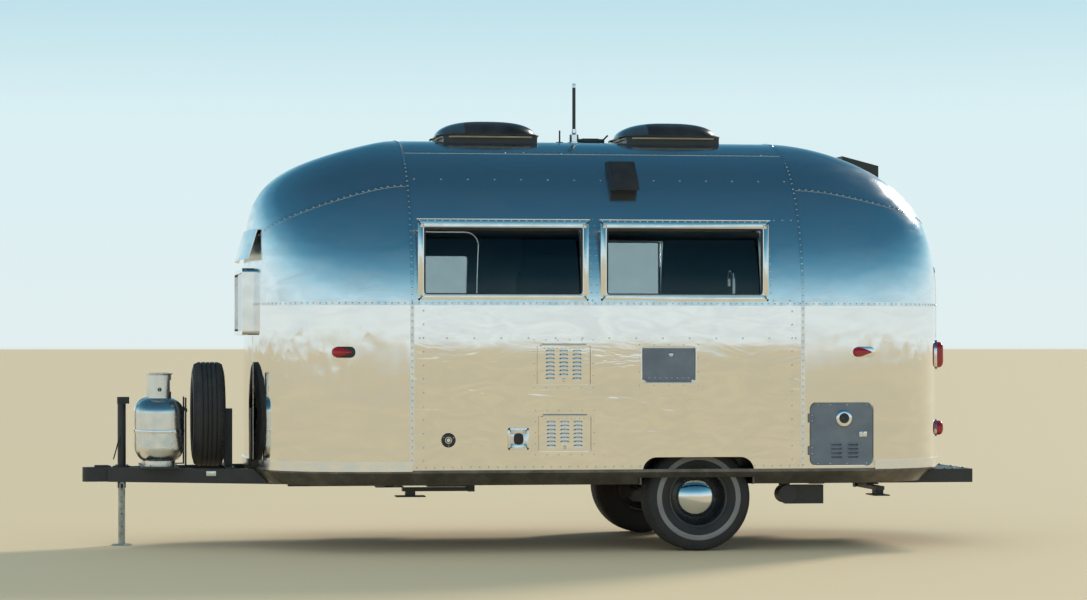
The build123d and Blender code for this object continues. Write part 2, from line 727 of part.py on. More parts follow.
def bottle_collar():
    """The guard round a bottle's valve, on the Z axis: rolled lip, hand hole and a window at the back."""
    low = BOTTLE_FOOT_Z + BOTTLE_HEIGHT
    high = low + COLLAR_HEIGHT
    inside = COLLAR_RADIUS - COLLAR_SHEET
    lip = COLLAR_RADIUS + COLLAR_LIP
    profile = [(inside, low), (COLLAR_RADIUS, low), (COLLAR_RADIUS, high - COLLAR_LIP), (lip, high - COLLAR_SHEET),
               (lip, high), (COLLAR_RADIUS, high), (inside, high - COLLAR_LIP)]
    collar = revolve(Plane.XZ * make_face(Polyline(*profile, close=True)), Axis.Z)
    hole_z = low + COLLAR_HEIGHT * COLLAR_HOLE_SHARE
    collar -= rod((0, 0, hole_z), (0, -2 * COLLAR_RADIUS, hole_z), COLLAR_HOLE_RADIUS)
    middle_z = (low + high) / 2
    return collar - block(KERB, grown((0, 0), COLLAR_WINDOW / 2), grown((middle_z, middle_z), COLLAR_WINDOW / 2))


def make_gas():
    """Two gas bottles with collars on a tray, held by a bar between them."""
    tray = block(grown((BOTTLE_X, BOTTLE_X), TRAY_HALF_LENGTH), grown((0, 0), TRAY_HALF_WIDTH),
                 (TONGUE_TOP_Z, BOTTLE_FOOT_Z))
    places = [Pos(BOTTLE_X, hand * BOTTLE_Y, 0) for hand in (-1, 1)]
    hold = rod((BOTTLE_X, 0, BOTTLE_FOOT_Z), (BOTTLE_X, 0, HOLD_DOWN_Z), HOLD_DOWN_RADIUS)
    return {"gas_tray": tray + hold, "gas_bottles": Compound([place * gas_bottle() for place in places]),
            "bottle_collars": Compound([place * bottle_collar() for place in places])}


def tyre_ring(radius, bead, width):
    """A tyre about the Z axis: one side's section from the TYRE_SECTION table, mirrored to the other."""
    side = [(bead + (radius - bead) * rise, width / 2 * reach) for rise, reach in TYRE_SECTION]
    other = [(away, -z) for away, z in reversed(side)]
    return revolve(Plane.XZ * make_face(Polyline(*side, *other, close=True)), Axis.Z)


def disc_edge():
    """The disc's face as (radius, z), from inside the rim to beside the hub cap."""
    inside = RIM_RADIUS - RIM_SHEET
    half = RIM_WIDTH / 2
    low = DISC_OFFSET - DISC_DISH
    flat = HUBCAP_RADIUS + DISC_FLAT
    rim = [(inside, -half), (RIM_RADIUS, -half), (RIM_RADIUS, half), (inside, half)]
    return [(flat, DISC_OFFSET), (inside, low)] + rim + [(inside, low + RIM_SHEET), (flat, DISC_OFFSET + RIM_SHEET)]


def spare_disc():
    """A bare steel wheel about the Z axis, its face towards +Z."""
    bore = HUB_RADIUS - RIM_SHEET
    points = [(bore, DISC_OFFSET)] + disc_edge() + [(bore, DISC_OFFSET + RIM_SHEET)]
    return revolve(Plane.XZ * make_face(Polyline(*points, close=True)), Axis.Z)


def road_wheel():
    """A steel wheel with its hub and domed hub cap about the Z axis, facing +Z."""
    bore = SPINDLE_RADIUS + SPINDLE_CLEARANCE
    back = DISC_OFFSET - HUB_LENGTH
    seat = DISC_OFFSET + RIM_SHEET
    points = [(0, DISC_OFFSET), (bore, DISC_OFFSET), (bore, back), (HUB_RADIUS, back), (HUB_RADIUS, DISC_OFFSET)]
    points += disc_edge() + [(HUBCAP_RADIUS, seat), (HUBCAP_RADIUS, seat + HUBCAP_EDGE)]
    rise = HUBCAP_RISE - HUBCAP_EDGE
    ball = (rise ** 2 + HUBCAP_RADIUS ** 2) / (2 * rise)
    half_turn = math.asin(HUBCAP_RADIUS / ball) / 2
    top = seat + HUBCAP_RISE
    dome = ThreePointArc(points[-1], (ball * math.sin(half_turn), top - ball * (1 - math.cos(half_turn))), (0, top))
    profile = make_face([Polyline(*points), dome, Line((0, top), points[0])])
    return revolve(Plane.XZ * profile, Axis.Z)


def wheel_place(hand):
    """Where a road wheel stands, its face outwards."""
    return Plane(origin=(AXLE_X, hand * WHEEL_Y, AXLE_Z), x_dir=(1, 0, 0), z_dir=(0, hand, 0))


def make_wheels():
    """The two road wheels and the axle that carries them."""
    made = {}
    spindles = None
    for side, hand in (("street", -1), ("kerb", 1)):
        place = wheel_place(hand)
        made["tyre_" + side] = place.location * tyre_ring(TYRE_RADIUS, RIM_RADIUS, TYRE_WIDTH)
        made["wheel_" + side] = place.location * road_wheel()
        end = hand * (WHEEL_Y + DISC_OFFSET - SPINDLE_CLEARANCE)
        root = hand * (WHEEL_Y + DISC_OFFSET - HUB_LENGTH - SPINDLE_COLLAR)
        spindle = rod((AXLE_X, root, AXLE_Z), (AXLE_X, end, AXLE_Z), SPINDLE_RADIUS)
        spindles = spindle if spindles is None else spindles + spindle
    half = WHEEL_Y + DISC_OFFSET - HUB_LENGTH - SPINDLE_COLLAR
    tube = rod((AXLE_X, -half, AXLE_Z), (AXLE_X, half, AXLE_Z), AXLE_TUBE_RADIUS)
    mount_x = grown((AXLE_X, AXLE_X), AXLE_MOUNT_HALF)
    mount_y = (RAIL_Y - RAIL_WIDTH / 2, RAIL_Y + RAIL_WIDTH / 2)
    mounts = both_sides(block(mount_x, mount_y, (AXLE_Z, RAIL_BOTTOM_Z)))
    made["axle_beam"] = tube + spindles + mounts[0] + mounts[1]
    return made


def make_spare():
    """The spare wheel, upright across the tongue, with its carrier behind it."""
    place = Plane(origin=(SPARE_X, 0, SPARE_Z), x_dir=(0, 1, 0), z_dir=(-1, 0, 0))
    back = SPARE_X + TYRE_WIDTH / 2 + CARRIER_GAP
    post = block((back, back + CARRIER_DEPTH), grown((0, 0), CARRIER_HALF_WIDTH), (TONGUE_TOP_Z, CARRIER_TOP_Z))
    reach = SPARE_X - DISC_OFFSET
    post += rod((reach, 0, SPARE_Z), (back, 0, SPARE_Z), HUB_RADIUS - RIM_SHEET - SPINDLE_CLEARANCE)
    foot = block((back, back + CARRIER_DEPTH), grown((0, 0), CARRIER_FOOT_HALF),
                 (TONGUE_TOP_Z, TONGUE_TOP_Z + CARRIER_SHEET))
    return {"spare_tyre": place.location * tyre_ring(TYRE_RADIUS, RIM_RADIUS, TYRE_WIDTH),
            "spare_wheel": place.location * spare_disc(), "spare_carrier": post + foot}


# Windows
def side_window(x, hand):
    """A side window's frame, which follows the body's curve, and its glass."""
    skin = STREET if hand < 0 else KERB
    span = grown((x, x), GLASS_LENGTH / 2)
    light = side_slab(span, (GLASS_LOW_Z, GLASS_HIGH_Z), skin, GLASS_CORNER)
    tube = side_window_hole(x, skin) - light
    flange = side_slab(grown(span, FRAME_FLANGE), grown((GLASS_LOW_Z, GLASS_HIGH_Z), FRAME_FLANGE), skin,
                       GLASS_CORNER + FRAME_FLANGE / 2) - light
    frame = side_band(tube, -WALL, 0) + side_band(flange, 0, FRAME_PROUD)
    return frame, side_band(light, -GLASS_DEPTH - GLASS_THICKNESS, -GLASS_DEPTH)


def front_window():
    """The front window's boxed frame and its flat glass."""
    face_x = FRONT.seam_x - FRONT.length - FRONT_FRAME_PROUD
    half = END_GLASS_HALF_WIDTH
    reach = end_reach(FRONT, FRONT_FRAME_PROUD)
    light = end_slab((-half, half), (END_GLASS_LOW_Z, END_GLASS_HIGH_Z), reach, GLASS_CORNER)
    frame = end_window_hole(reach) - light - cap_wall(FRONT, -WALL) - cap_dome(FRONT, -WALL)
    glass_x = (face_x + GLASS_DEPTH, face_x + GLASS_DEPTH + GLASS_THICKNESS)
    return frame, end_slab((-half, half), (END_GLASS_LOW_Z, END_GLASS_HIGH_Z), glass_x, GLASS_CORNER)


def rear_window():
    """The rear window's frame and its glass, both bent to the wall, in parts that meet at the belt."""
    half = END_GLASS_HALF_WIDTH
    reach = end_reach(REAR, WALL)
    light = end_slab((-half, half), (END_GLASS_LOW_Z, END_GLASS_HIGH_Z), reach, GLASS_CORNER)
    tube = end_window_hole(reach) - light
    flange = end_slab(grown((-half, half), FRAME_FLANGE), grown((END_GLASS_LOW_Z, END_GLASS_HIGH_Z), FRAME_FLANGE),
                      reach, GLASS_CORNER + FRAME_FLANGE / 2) - light
    frame = rear_band(tube, -WALL, 0) + rear_band(flange, 0, FRAME_PROUD)
    frame += rear_dome_band(tube, -WALL, 0) + rear_dome_band(flange, 0, FRAME_PROUD)
    depths = (-GLASS_DEPTH - GLASS_THICKNESS, -GLASS_DEPTH)
    return frame, rear_band(light, *depths) + rear_dome_band(light, *depths)


def make_windows():
    """All fixed windows: frames in one node, panes in another."""
    frames, panes = [], []
    sides = [(x, -1) for x in STREET_WINDOW_X] + [(x, 1) for x in KERB_WINDOW_X]
    made = [side_window(x, hand) for x, hand in sides] + [front_window(), rear_window()]
    for frame, pane in made:
        frames.extend(frame.solids())
        panes.extend(pane.solids())
    return {"window_frames": Compound(frames), "window_panes": Compound(panes)}


# Doors
def make_entry_door():
    """The entry door with its window, handle and hinge barrels, and its pane."""
    leaf = side_band(door_slab(-DOOR_GAP, KERB), -WALL, 0)
    light = side_slab(DOOR_GLASS_X, DOOR_GLASS_Z, KERB, GLASS_CORNER)
    leaf -= light
    frame = side_slab(grown(DOOR_GLASS_X, DOOR_FRAME), grown(DOOR_GLASS_Z, DOOR_FRAME), KERB,
                      GLASS_CORNER + DOOR_FRAME / 2) - light
    leaf += side_band(frame, 0, FRAME_PROUD)
    axis_x = DOOR_X[0] - DOOR_KNUCKLE
    axis_y = HALF_WIDTH + RUN_GAP + DOOR_KNUCKLE
    strap_y = HALF_WIDTH + RUN_GAP
    for z in DOOR_KNUCKLE_Z:
        low, high = grown((z, z), DOOR_KNUCKLE_LENGTH / 2)
        leaf += rod((axis_x, axis_y, low), (axis_x, axis_y, high), DOOR_KNUCKLE)
        leaf += block((axis_x, DOOR_X[0] + DOOR_STRAP), (strap_y, strap_y + STRAP_SHEET), (low, high))
        leaf += block((DOOR_X[0] + DOOR_GAP, DOOR_X[0] + DOOR_STRAP), (HALF_WIDTH - WALL / 2, strap_y + STRAP_SHEET),
                      (low, high))
    handle_x = DOOR_X[1] - DOOR_HANDLE_INSET
    post_y = (HALF_WIDTH - WALL / 2, HALF_WIDTH + HANDLE_REACH)
    grip_z = grown((DOOR_HANDLE_Z, DOOR_HANDLE_Z), HANDLE_LENGTH / 2)
    leaf += block(grown((handle_x, handle_x), HANDLE_BAR), (post_y[1] - 2 * HANDLE_BAR, post_y[1]), grip_z)
    for z in (grip_z[0] + HANDLE_BAR, grip_z[1] - HANDLE_BAR):
        leaf += block(grown((handle_x, handle_x), HANDLE_BAR), post_y, grown((z, z), HANDLE_BAR))
    pane = side_band(light, -GLASS_DEPTH - GLASS_THICKNESS, -GLASS_DEPTH)
    return {"entry_door": leaf, "entry_door_pane": pane}


def louvre_hood(width):
    """A pressed louvre hood about the X axis, open below, on a skin whose outside is -Y."""
    inner = width / 2 - LOUVRE_HOOD
    hood = rod((-inner, 0, 0), (inner, 0, 0), LOUVRE_HOOD)
    for x in (-inner, inner):
        hood += Pos(x, 0, 0) * Sphere(LOUVRE_HOOD)
    return hood & block(WORLD, (-LOUVRE_HOOD, LOUVRE_ROOT - LOUVRE_SUNK), (0, LOUVRE_HOOD))


def press_louvres(leaf, node, place_at):
    """Cuts a door's slots and sets a hood over each.

    place_at gives the frame on the door's face at one X, its Y axis pointing inwards.
    """
    slots, hoods = [], []
    for column in LOUVRES:
        if column.node != node:
            continue
        hood = Pos(0, LOUVRE_SUNK, 0) * louvre_hood(column.width)
        half = column.width / 2 - LOUVRE_HOOD / 2
        slot = block((-half, half), (-LOUVRE_HOOD, LOUVRE_SLOT_DEPTH), (-LOUVRE_SLOT, 0))
        for row in range(column.rows):
            place = place_at(column.x, column.top_z - row * column.pitch)
            slots.append(place * slot)
            hoods.append(place * hood)
    return (leaf - slots) + hoods


def small_leaf(door):
    """A flat door in the street side, with its hinge barrel along the top or bottom edge."""
    skin_y = -HALF_WIDTH
    leaf = side_slab(grown((door.x0, door.x1), -LEAF_GAP), grown((door.z0, door.z1), -LEAF_GAP),
                     (skin_y, skin_y + LEAF_THICKNESS), door.corner)
    up = 1 if door.hinge_edge == "top" else -1
    edge_z = door.z1 if up > 0 else door.z0
    axis_z = edge_z + up * LEAF_KNUCKLE
    axis_y = skin_y - RUN_GAP - LEAF_KNUCKLE
    ends = grown((door.x0, door.x1), -KNUCKLE_INSET)
    leaf += rod((ends[0], axis_y, axis_z), (ends[1], axis_y, axis_z), LEAF_KNUCKLE)
    strap_z = sorted((axis_z, edge_z - up * LEAF_STRAP))
    leaf += block(ends, (skin_y - RUN_GAP - STRAP_SHEET, skin_y - RUN_GAP), strap_z)
    seat_z = sorted((edge_z - up * LEAF_GAP, edge_z - up * LEAF_STRAP))
    leaf += block(ends, (skin_y - RUN_GAP - STRAP_SHEET, skin_y + LEAF_THICKNESS / 2), seat_z)
    return press_louvres(leaf, door.node, lambda x, z: Pos(x, skin_y, z)) if door is not ACCESS_DOOR else leaf


def make_heater_door():
    """The water heater's door in the rear cap, hinged along its front edge."""
    door = HEATER_DOOR
    slab = side_slab(grown((door.x0, door.x1), -LEAF_GAP), grown((door.z0, door.z1), -LEAF_GAP), STREET, door.corner)
    leaf = rear_band(slab, -LEAF_THICKNESS, 0)
    axis_x = door.x0 - LEAF_KNUCKLE
    axis_y = -HALF_WIDTH - RUN_GAP - LEAF_KNUCKLE
    for z in HEATER_KNUCKLE_Z:
        low, high = grown((z, z), KNUCKLE_INSET)
        leaf += rod((axis_x, axis_y, low), (axis_x, axis_y, high), LEAF_KNUCKLE)
        strap_y = (-HALF_WIDTH - RUN_GAP - STRAP_SHEET, -HALF_WIDTH - RUN_GAP)
        leaf += block((axis_x, door.x0 + LEAF_STRAP), strap_y, (low, high))
        leaf += block((door.x0 + LEAF_GAP, door.x0 + LEAF_STRAP), (strap_y[0], -HALF_WIDTH + LEAF_THICKNESS / 2),
                      (low, high))
    flue_y = -cap_wall_y(REAR, HEATER_FLUE_X)
    face = (HEATER_FLUE_X, flue_y - FITTING_PROUD, HEATER_FLUE_Z)
    leaf += rod(face, (HEATER_FLUE_X, flue_y + LEAF_THICKNESS / 2, HEATER_FLUE_Z), FLUE_RADIUS)
    leaf -= rod(face, (HEATER_FLUE_X, flue_y + LEAF_THICKNESS / 4, HEATER_FLUE_Z), FLUE_BORE)
    return press_louvres(leaf, door.node, heater_place)


def heater_place(x, z):
    """The frame on the heater door's bent face at one point."""
    slope = (cap_wall_y(REAR, x + 1) - cap_wall_y(REAR, x - 1)) / 2
    return Pos(x, -cap_wall_y(REAR, x), z) * Rot(0, 0, -math.degrees(math.atan(slope)))


# Lamps and small fittings
def marker_lamp(marker, hand):
    """A teardrop marker lamp that lies on a cap's wall, its tip to the rear."""
    tail = MARKER_LENGTH - MARKER_RADIUS
    profile = make_face([Line((-MARKER_RADIUS, 0), (tail, 0)), Line((tail, 0), (tail, MARKER_TIP)),
                         Spline((tail, MARKER_TIP), (0, MARKER_RADIUS), tangents=((-1, 0.25), (-1, 0))),
                         CenterArc((0, 0), MARKER_RADIUS, 90, 90)])
    drop = scale(revolve(Plane.XZ * profile, Axis.X), (1, MARKER_FLATTEN, 1))
    slope = (cap_wall_y(marker.cap, marker.x + 1) - cap_wall_y(marker.cap, marker.x - 1)) / 2
    place = Pos(marker.x, hand * cap_wall_y(marker.cap, marker.x), MARKER_Z)
    drop = place * Rot(0, 0, hand * math.degrees(math.atan(slope))) * Pos(-tail / 2, 0, 0) * drop
    return drop - cap_wall(marker.cap, 0)


def make_lamps():
    """Side markers, and at the rear oval tail lamps and low round lamps."""
    lamps = [marker_lamp(marker, hand) for marker in MARKERS for hand in (-1, 1)]
    lamp_x = cap_wall_x(REAR, TAIL_LAMP_Y)
    reach = (lamp_x - 2 * TAIL_LAMP_PROUD, lamp_x + TAIL_LAMP_PROUD)
    for hand in (-1, 1):
        y = hand * TAIL_LAMP_Y
        for z, half in ((TAIL_LAMP_Z, TAIL_LAMP_HALF), (REAR_LAMP_Z, (REAR_LAMP_RADIUS, REAR_LAMP_RADIUS))):
            lens = end_slab(grown((y, y), half[0]), grown((z, z), half[1]), reach, half[0] - 1)
            rim = lens.edges().group_by(Axis.X)[-1]
            lamps.append(fillet(rim, TAIL_LAMP_EDGE) - cap_wall(REAR, 0))
    return {"lamps": Compound([solid for lamp in lamps for solid in lamp.solids()])}


def make_fittings():
    """Rub trim, side inlet and hatch, waste outlet and entry step."""
    trims = []
    trim_z = (TRIM_Z - TRIM_DROP, TRIM_Z + TRIM_RISE)
    for cap in (FRONT, REAR):
        ring = cap_wall(cap, TRIM_PROUD, *trim_z) - cap_wall(cap, 0, *trim_z)
        if cap is REAR:
            ring -= block((REAR.seam_x - WALL, HEATER_DOOR.x1 + TRIM_GAP), STREET, (0, BELT_Z))
        trims.extend(ring.solids())
    inlet = rod((INLET_X, -HALF_WIDTH - FITTING_PROUD, INLET_Z), (INLET_X, -HALF_WIDTH, INLET_Z), INLET_RADIUS)
    eye = (INLET_X, -HALF_WIDTH - FITTING_PROUD / 2, INLET_Z)
    inlet -= rod((INLET_X, -HALF_WIDTH - FITTING_PROUD, INLET_Z), eye, INLET_RADIUS * INLET_EYE)
    hatch = side_slab(HATCH_X, HATCH_Z, (-HALF_WIDTH - FITTING_PROUD, -HALF_WIDTH), HATCH_CORNER)
    recess = Plane(origin=(sum(HATCH_X) / 2, -HALF_WIDTH - FITTING_PROUD, sum(HATCH_Z) / 2), z_dir=(0, 1, 0))
    hatch -= extrude(recess * Ellipse(*HATCH_EYE), FITTING_PROUD / 2)
    drain = rod((DRAIN_X, DRAIN_Y, DRAIN_Z), (DRAIN_X, DRAIN_Y + DRAIN_LENGTH, DRAIN_Z), DRAIN_RADIUS)
    valve_y = (DRAIN_Y + DRAIN_LENGTH / 2, DRAIN_Y + DRAIN_LENGTH)
    drain += block((DRAIN_X, DRAIN_VALVE_X[1]), valve_y, DRAIN_VALVE_Z)
    drain += block(grown((DRAIN_X, DRAIN_X), DRAIN_RADIUS / 2), valve_y, (DRAIN_Z, BELLY_Z))
    return {"rub_trim": Compound(trims), "side_inlets": Compound([inlet, hatch]), "waste_drain": drain}


def make_step():
    """The entry step, which slides out on two hangers below the belly pan."""
    step = block(STEP_X, STEP_Y, STEP_Z)
    hangers = []
    for end_x, hand in ((STEP_X[0], -1), (STEP_X[1], 1)):
        bar_x = sorted((end_x, end_x - hand * STEP_BAR))
        step += block(bar_x, STEP_BAR_Y, (STEP_Z[0], STEP_Z[0] + STEP_BAR_DEPTH))
        web_x = sorted((end_x + hand * STEP_SIDE_GAP, end_x + hand * (STEP_SIDE_GAP + STEP_SHEET)))
        lip_x = sorted((end_x - hand * STEP_BAR, end_x + hand * (STEP_SIDE_GAP + STEP_SHEET)))
        hanger = block(web_x, STEP_HANGER_Y, (STEP_Z[0] - RUN_GAP - STEP_SHEET, BELLY_Z))
        hanger += block(lip_x, STEP_HANGER_Y, (STEP_Z[0] - RUN_GAP - STEP_SHEET, STEP_Z[0] - RUN_GAP))
        hangers.append(hanger)
    return {"entry_step": step, "step_hangers": Compound(hangers)}


def lid_dome(x):
    """A roof vent's domed lid, solid through, on a flat rim."""
    plan = ((0, VENT_HALF_WIDTH), (VENT_HALF_LENGTH * VENT_PLAN_HANDLE, VENT_HALF_WIDTH),
            (VENT_HALF_LENGTH, VENT_HALF_WIDTH * VENT_PLAN_HANDLE), (VENT_HALF_LENGTH, 0))
    faces, edges = [], []
    for long_hand, hand in ((1, 1), (-1, 1), (-1, -1), (1, -1)):
        corners = [(long_hand * px, hand * py) for px, py in plan]
        rows = []
        for px, py in corners:
            rows.append([Vector(x + px * share, py * share, VENT_LID_Z + VENT_LID_HEIGHT * rise)
                         for share, rise in VENT_CURVE])
        faces.append(Face.make_bezier_surface(rows))
        rim = [(x + px, py, VENT_LID_Z) for px, py in corners]
        edges.append(Edge.make_bezier(*(rim if long_hand * hand < 0 else reversed(rim))))
    faces.append(Face(Wire(edges)))
    return Solid(Shell(faces))


def make_antenna():
    """A mast on its turned base, the arm folded down behind it and a short stub ahead of it."""
    base = rod((ANTENNA_X, 0, ROOF_Z - WALL), (ANTENNA_X, 0, ROOF_Z + ANTENNA_BASE_HEIGHT), ANTENNA_BASE_RADIUS)
    mast = base + rod((ANTENNA_X, 0, ROOF_Z), (ANTENNA_X, 0, ANTENNA_TOP_Z), ANTENNA_RADIUS)
    arm_z = ROOF_Z + ANTENNA_ARM_LIFT + ANTENNA_ARM_RADIUS
    mast += rod((ANTENNA_X, 0, arm_z), (ANTENNA_ARM_X[1], 0, arm_z), ANTENNA_ARM_RADIUS)
    mast += rod((ANTENNA_ARM_X[0] + ANTENNA_TIP, 0, arm_z), (ANTENNA_ARM_X[1] - ANTENNA_TIP, 0, arm_z),
                ANTENNA_ARM_RADIUS + ANTENNA_ARM_LIFT)
    tip = ANTENNA_ARM_X[1] - ANTENNA_ARM_RADIUS
    mast += rod((tip, 0, arm_z), (tip + ANTENNA_TIP, 0, arm_z + ANTENNA_TIP), ANTENNA_RADIUS / 2)
    stub = rod((STUB_X, 0, ROOF_Z - WALL), (STUB_X, 0, STUB_TOP_Z), STUB_RADIUS)
    stub += rod((STUB_X, 0, ROOF_Z - WALL), (STUB_X, 0, ROOF_Z + STUB_FLANGE[1]), STUB_FLANGE[0])
    return Compound([mast - barrel(0), stub - barrel(0)])


def make_roof():
    """Vent bases and lids, the hooded side vent and the rear vent."""
    made = {}
    bases = []
    outside = barrel(0)
    for name, x in zip(("front", "rear"), VENT_X):
        base = block(grown((x, x), VENT_BASE_HALF[0]), grown((0, 0), VENT_BASE_HALF[1]),
                     (ROOF_Z - 2 * WALL, VENT_LID_Z - VENT_LID_GAP))
        hole = block(grown((x, x), VENT_HOLE_HALF[0] + WALL), grown((0, 0), VENT_HOLE_HALF[1] + WALL),
                     (ROOF_Z - 4 * WALL, VENT_LID_Z))
        bases.append(base - hole - outside)
        lid = lid_dome(x)
        barrel_x = x - VENT_HALF_LENGTH - VENT_BARREL
        for y in (-VENT_BARREL_Y, VENT_BARREL_Y):
            ends = grown((y, y), VENT_BARREL_LENGTH / 2)
            lid += rod((barrel_x, ends[0], VENT_LID_Z), (barrel_x, ends[1], VENT_LID_Z), VENT_BARREL)
            lid += block((barrel_x, x - VENT_HALF_LENGTH + VENT_TAB), ends, (VENT_LID_Z, VENT_LID_Z + VENT_BARREL))
        made["vent_lid_" + name] = lid
    hood = block(grown((HOOD_X, HOOD_X), HOOD_HALF_LENGTH), (-HALF_WIDTH, 0), HOOD_Z)
    hood = (hood & barrel(HOOD_PROUD)) - outside
    wedge = [(REAR_HOOD_X[0], REAR_HOOD_TOP_Z[0] - REAR_HOOD_DEPTH), (REAR_HOOD_X[0], REAR_HOOD_TOP_Z[0]),
             (REAR_HOOD_X[1], REAR_HOOD_TOP_Z[1]), (REAR_HOOD_X[1], REAR_HOOD_TOP_Z[1] - REAR_HOOD_DEPTH)]
    profile = Plane.XZ.offset(-REAR_HOOD_HALF_WIDTH) * make_face(Polyline(*wedge, close=True))
    rear_hood = extrude(profile, 2 * REAR_HOOD_HALF_WIDTH) - cap_dome(REAR, 0)
    made["vent_bases"] = Compound([solid for base in bases for solid in base.solids()])
    made["roof_hoods"] = Compound(hood.solids() + rear_hood.solids())
    return made


def make_visor():
    """The visor over the front window: a curved sheet that stands off at its lower edge."""
    face_x = FRONT.seam_x - FRONT.length
    centre_x = face_x - VISOR_PROUD + VISOR_RADIUS
    lip_x = face_x - VISOR_PROUD
    sheet = [(face_x + VISOR_ROOT, VISOR_HINGE_Z + VISOR_SHEET), (face_x, VISOR_HINGE_Z + VISOR_SHEET),
             (lip_x, VISOR_LIP_Z), (lip_x + VISOR_SHEET, VISOR_LIP_Z),
             (face_x + VISOR_SHEET, VISOR_HINGE_Z), (face_x + VISOR_ROOT, VISOR_HINGE_Z)]
    profile = Plane.XZ * make_face(Polyline(*sheet, close=True))
    ring = revolve(profile, Axis((centre_x, 0, 0), (0, 0, 1)))
    front = block((-EVERYTHING, FRONT.seam_x), grown((0, 0), VISOR_HALF_WIDTH), WORLD)
    return {"front_visor": (ring & front) - cap_dome(FRONT, 0)}


def make_stabilisers():
    """Four folded stabiliser legs and the brackets that carry their pins."""
    made = {}
    brackets = []
    cheek_y = LEG_SECTION[0] / 2 + BRACKET_GAP + BRACKET_SHEET / 2
    width = 2 * cheek_y + BRACKET_SHEET
    top = RAIL_BOTTOM_Z - LEG_PIVOT_Z
    foot_z = -LEG_SECTION[1] / 2 - LEG_FOOT_DROP
    foot_x = LEG_LENGTH - LEG_FOOT[1] / 2
    for leg in STABILISERS:
        plane = Plane(origin=(leg.x, leg.y, LEG_PIVOT_Z), x_dir=(leg.reach_x, leg.reach_y, 0), z_dir=(0, 0, 1))
        arm = Pos(LEG_LENGTH / 2, 0, 0) * Box(LEG_LENGTH, LEG_SECTION[0], LEG_SECTION[1])
        arm += Pos(foot_x, 0, foot_z / 2) * Box(LEG_STEM, LEG_SECTION[0], -foot_z)
        arm += Pos(foot_x, 0, foot_z - LEG_FOOT[2] / 2) * Box(*LEG_FOOT)
        across = Plane(origin=(0, 0, 0), z_dir=(0, 1, 0))
        arm -= extrude(across * Circle(LEG_PIN + RUN_GAP), LEG_SECTION[0], both=True)
        made[leg.node] = plane.location * arm
        bracket = block((-BRACKET_BACK, BRACKET_LENGTH), grown((0, 0), width / 2), (top - BRACKET_SHEET, top))
        bracket += extrude(across * Circle(LEG_PIN), width / 2, both=True)
        for y in (-cheek_y, cheek_y):
            cheek = block(grown((0, 0), BRACKET_BACK), grown((y, y), BRACKET_SHEET / 2), (-2 * LEG_PIN, top))
            bracket += cheek
        brackets.append(plane.location * bracket)
    made["stabiliser_brackets"] = Compound(brackets)
    return made


def make_galley():
    """The galley cabinet below the street side windows and its tap."""
    cabinet = block(GALLEY_X, GALLEY_Y, GALLEY_Z)
    for well in well_box(WELL_SHEET):
        cabinet -= well
    bend_z = TAP_TOP_Z - TAP_BEND
    neck = [Line((TAP_Y, GALLEY_Z[1]), (TAP_Y, bend_z)), CenterArc((TAP_Y + TAP_BEND, bend_z), TAP_BEND, 180, -180),
            Line((TAP_Y + 2 * TAP_BEND, bend_z), (TAP_Y + 2 * TAP_BEND, bend_z - TAP_DROP))]
    path = Plane(origin=(TAP_X, 0, 0), x_dir=(0, 1, 0), z_dir=(1, 0, 0)) * Wire(neck)
    tap = sweep(Plane(origin=(TAP_X, TAP_Y, GALLEY_Z[1]), z_dir=(0, 0, 1)) * Circle(TAP_RADIUS), path)
    return {"galley_cabinet": cabinet, "galley_tap": tap}


nodes = {}
nodes.update(make_body())
nodes.update(make_chassis())
nodes.update(make_floor(nodes))
nodes["coupler"] = make_coupler()
nodes.update(make_jack())
nodes["safety_chain"] = make_chain()
nodes.update(make_gas())
nodes.update(make_spare())
nodes.update(make_wheels())
nodes.update(make_windows())
nodes.update(make_entry_door())
for small_door in SMALL_DOORS:
    nodes[small_door.node] = small_leaf(small_door)
nodes["heater_door"] = make_heater_door()
nodes.update(make_lamps())
nodes.update(make_fittings())
nodes.update(make_step())
nodes.update(make_roof())
nodes["antenna"] = make_antenna()
nodes.update(make_visor())
nodes.update(make_stabilisers())
nodes.update(make_galley())

os.makedirs("parts", exist_ok=True)
for name, shape in nodes.items():
    export_step(shape, "parts/" + name + ".step")
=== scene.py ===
"""Looks of a riveted aluminium travel caravan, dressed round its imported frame.

Metres, in the frame's own axes: +X to the rear, -Y to the street side and +Z up.
"""

import json
import logging
import math
from dataclasses import dataclass
from enum import Enum
from typing import Callable, Iterable, Sequence

import bpy
from mathutils import Matrix, Vector
from mathutils.bvhtree import BVHTree

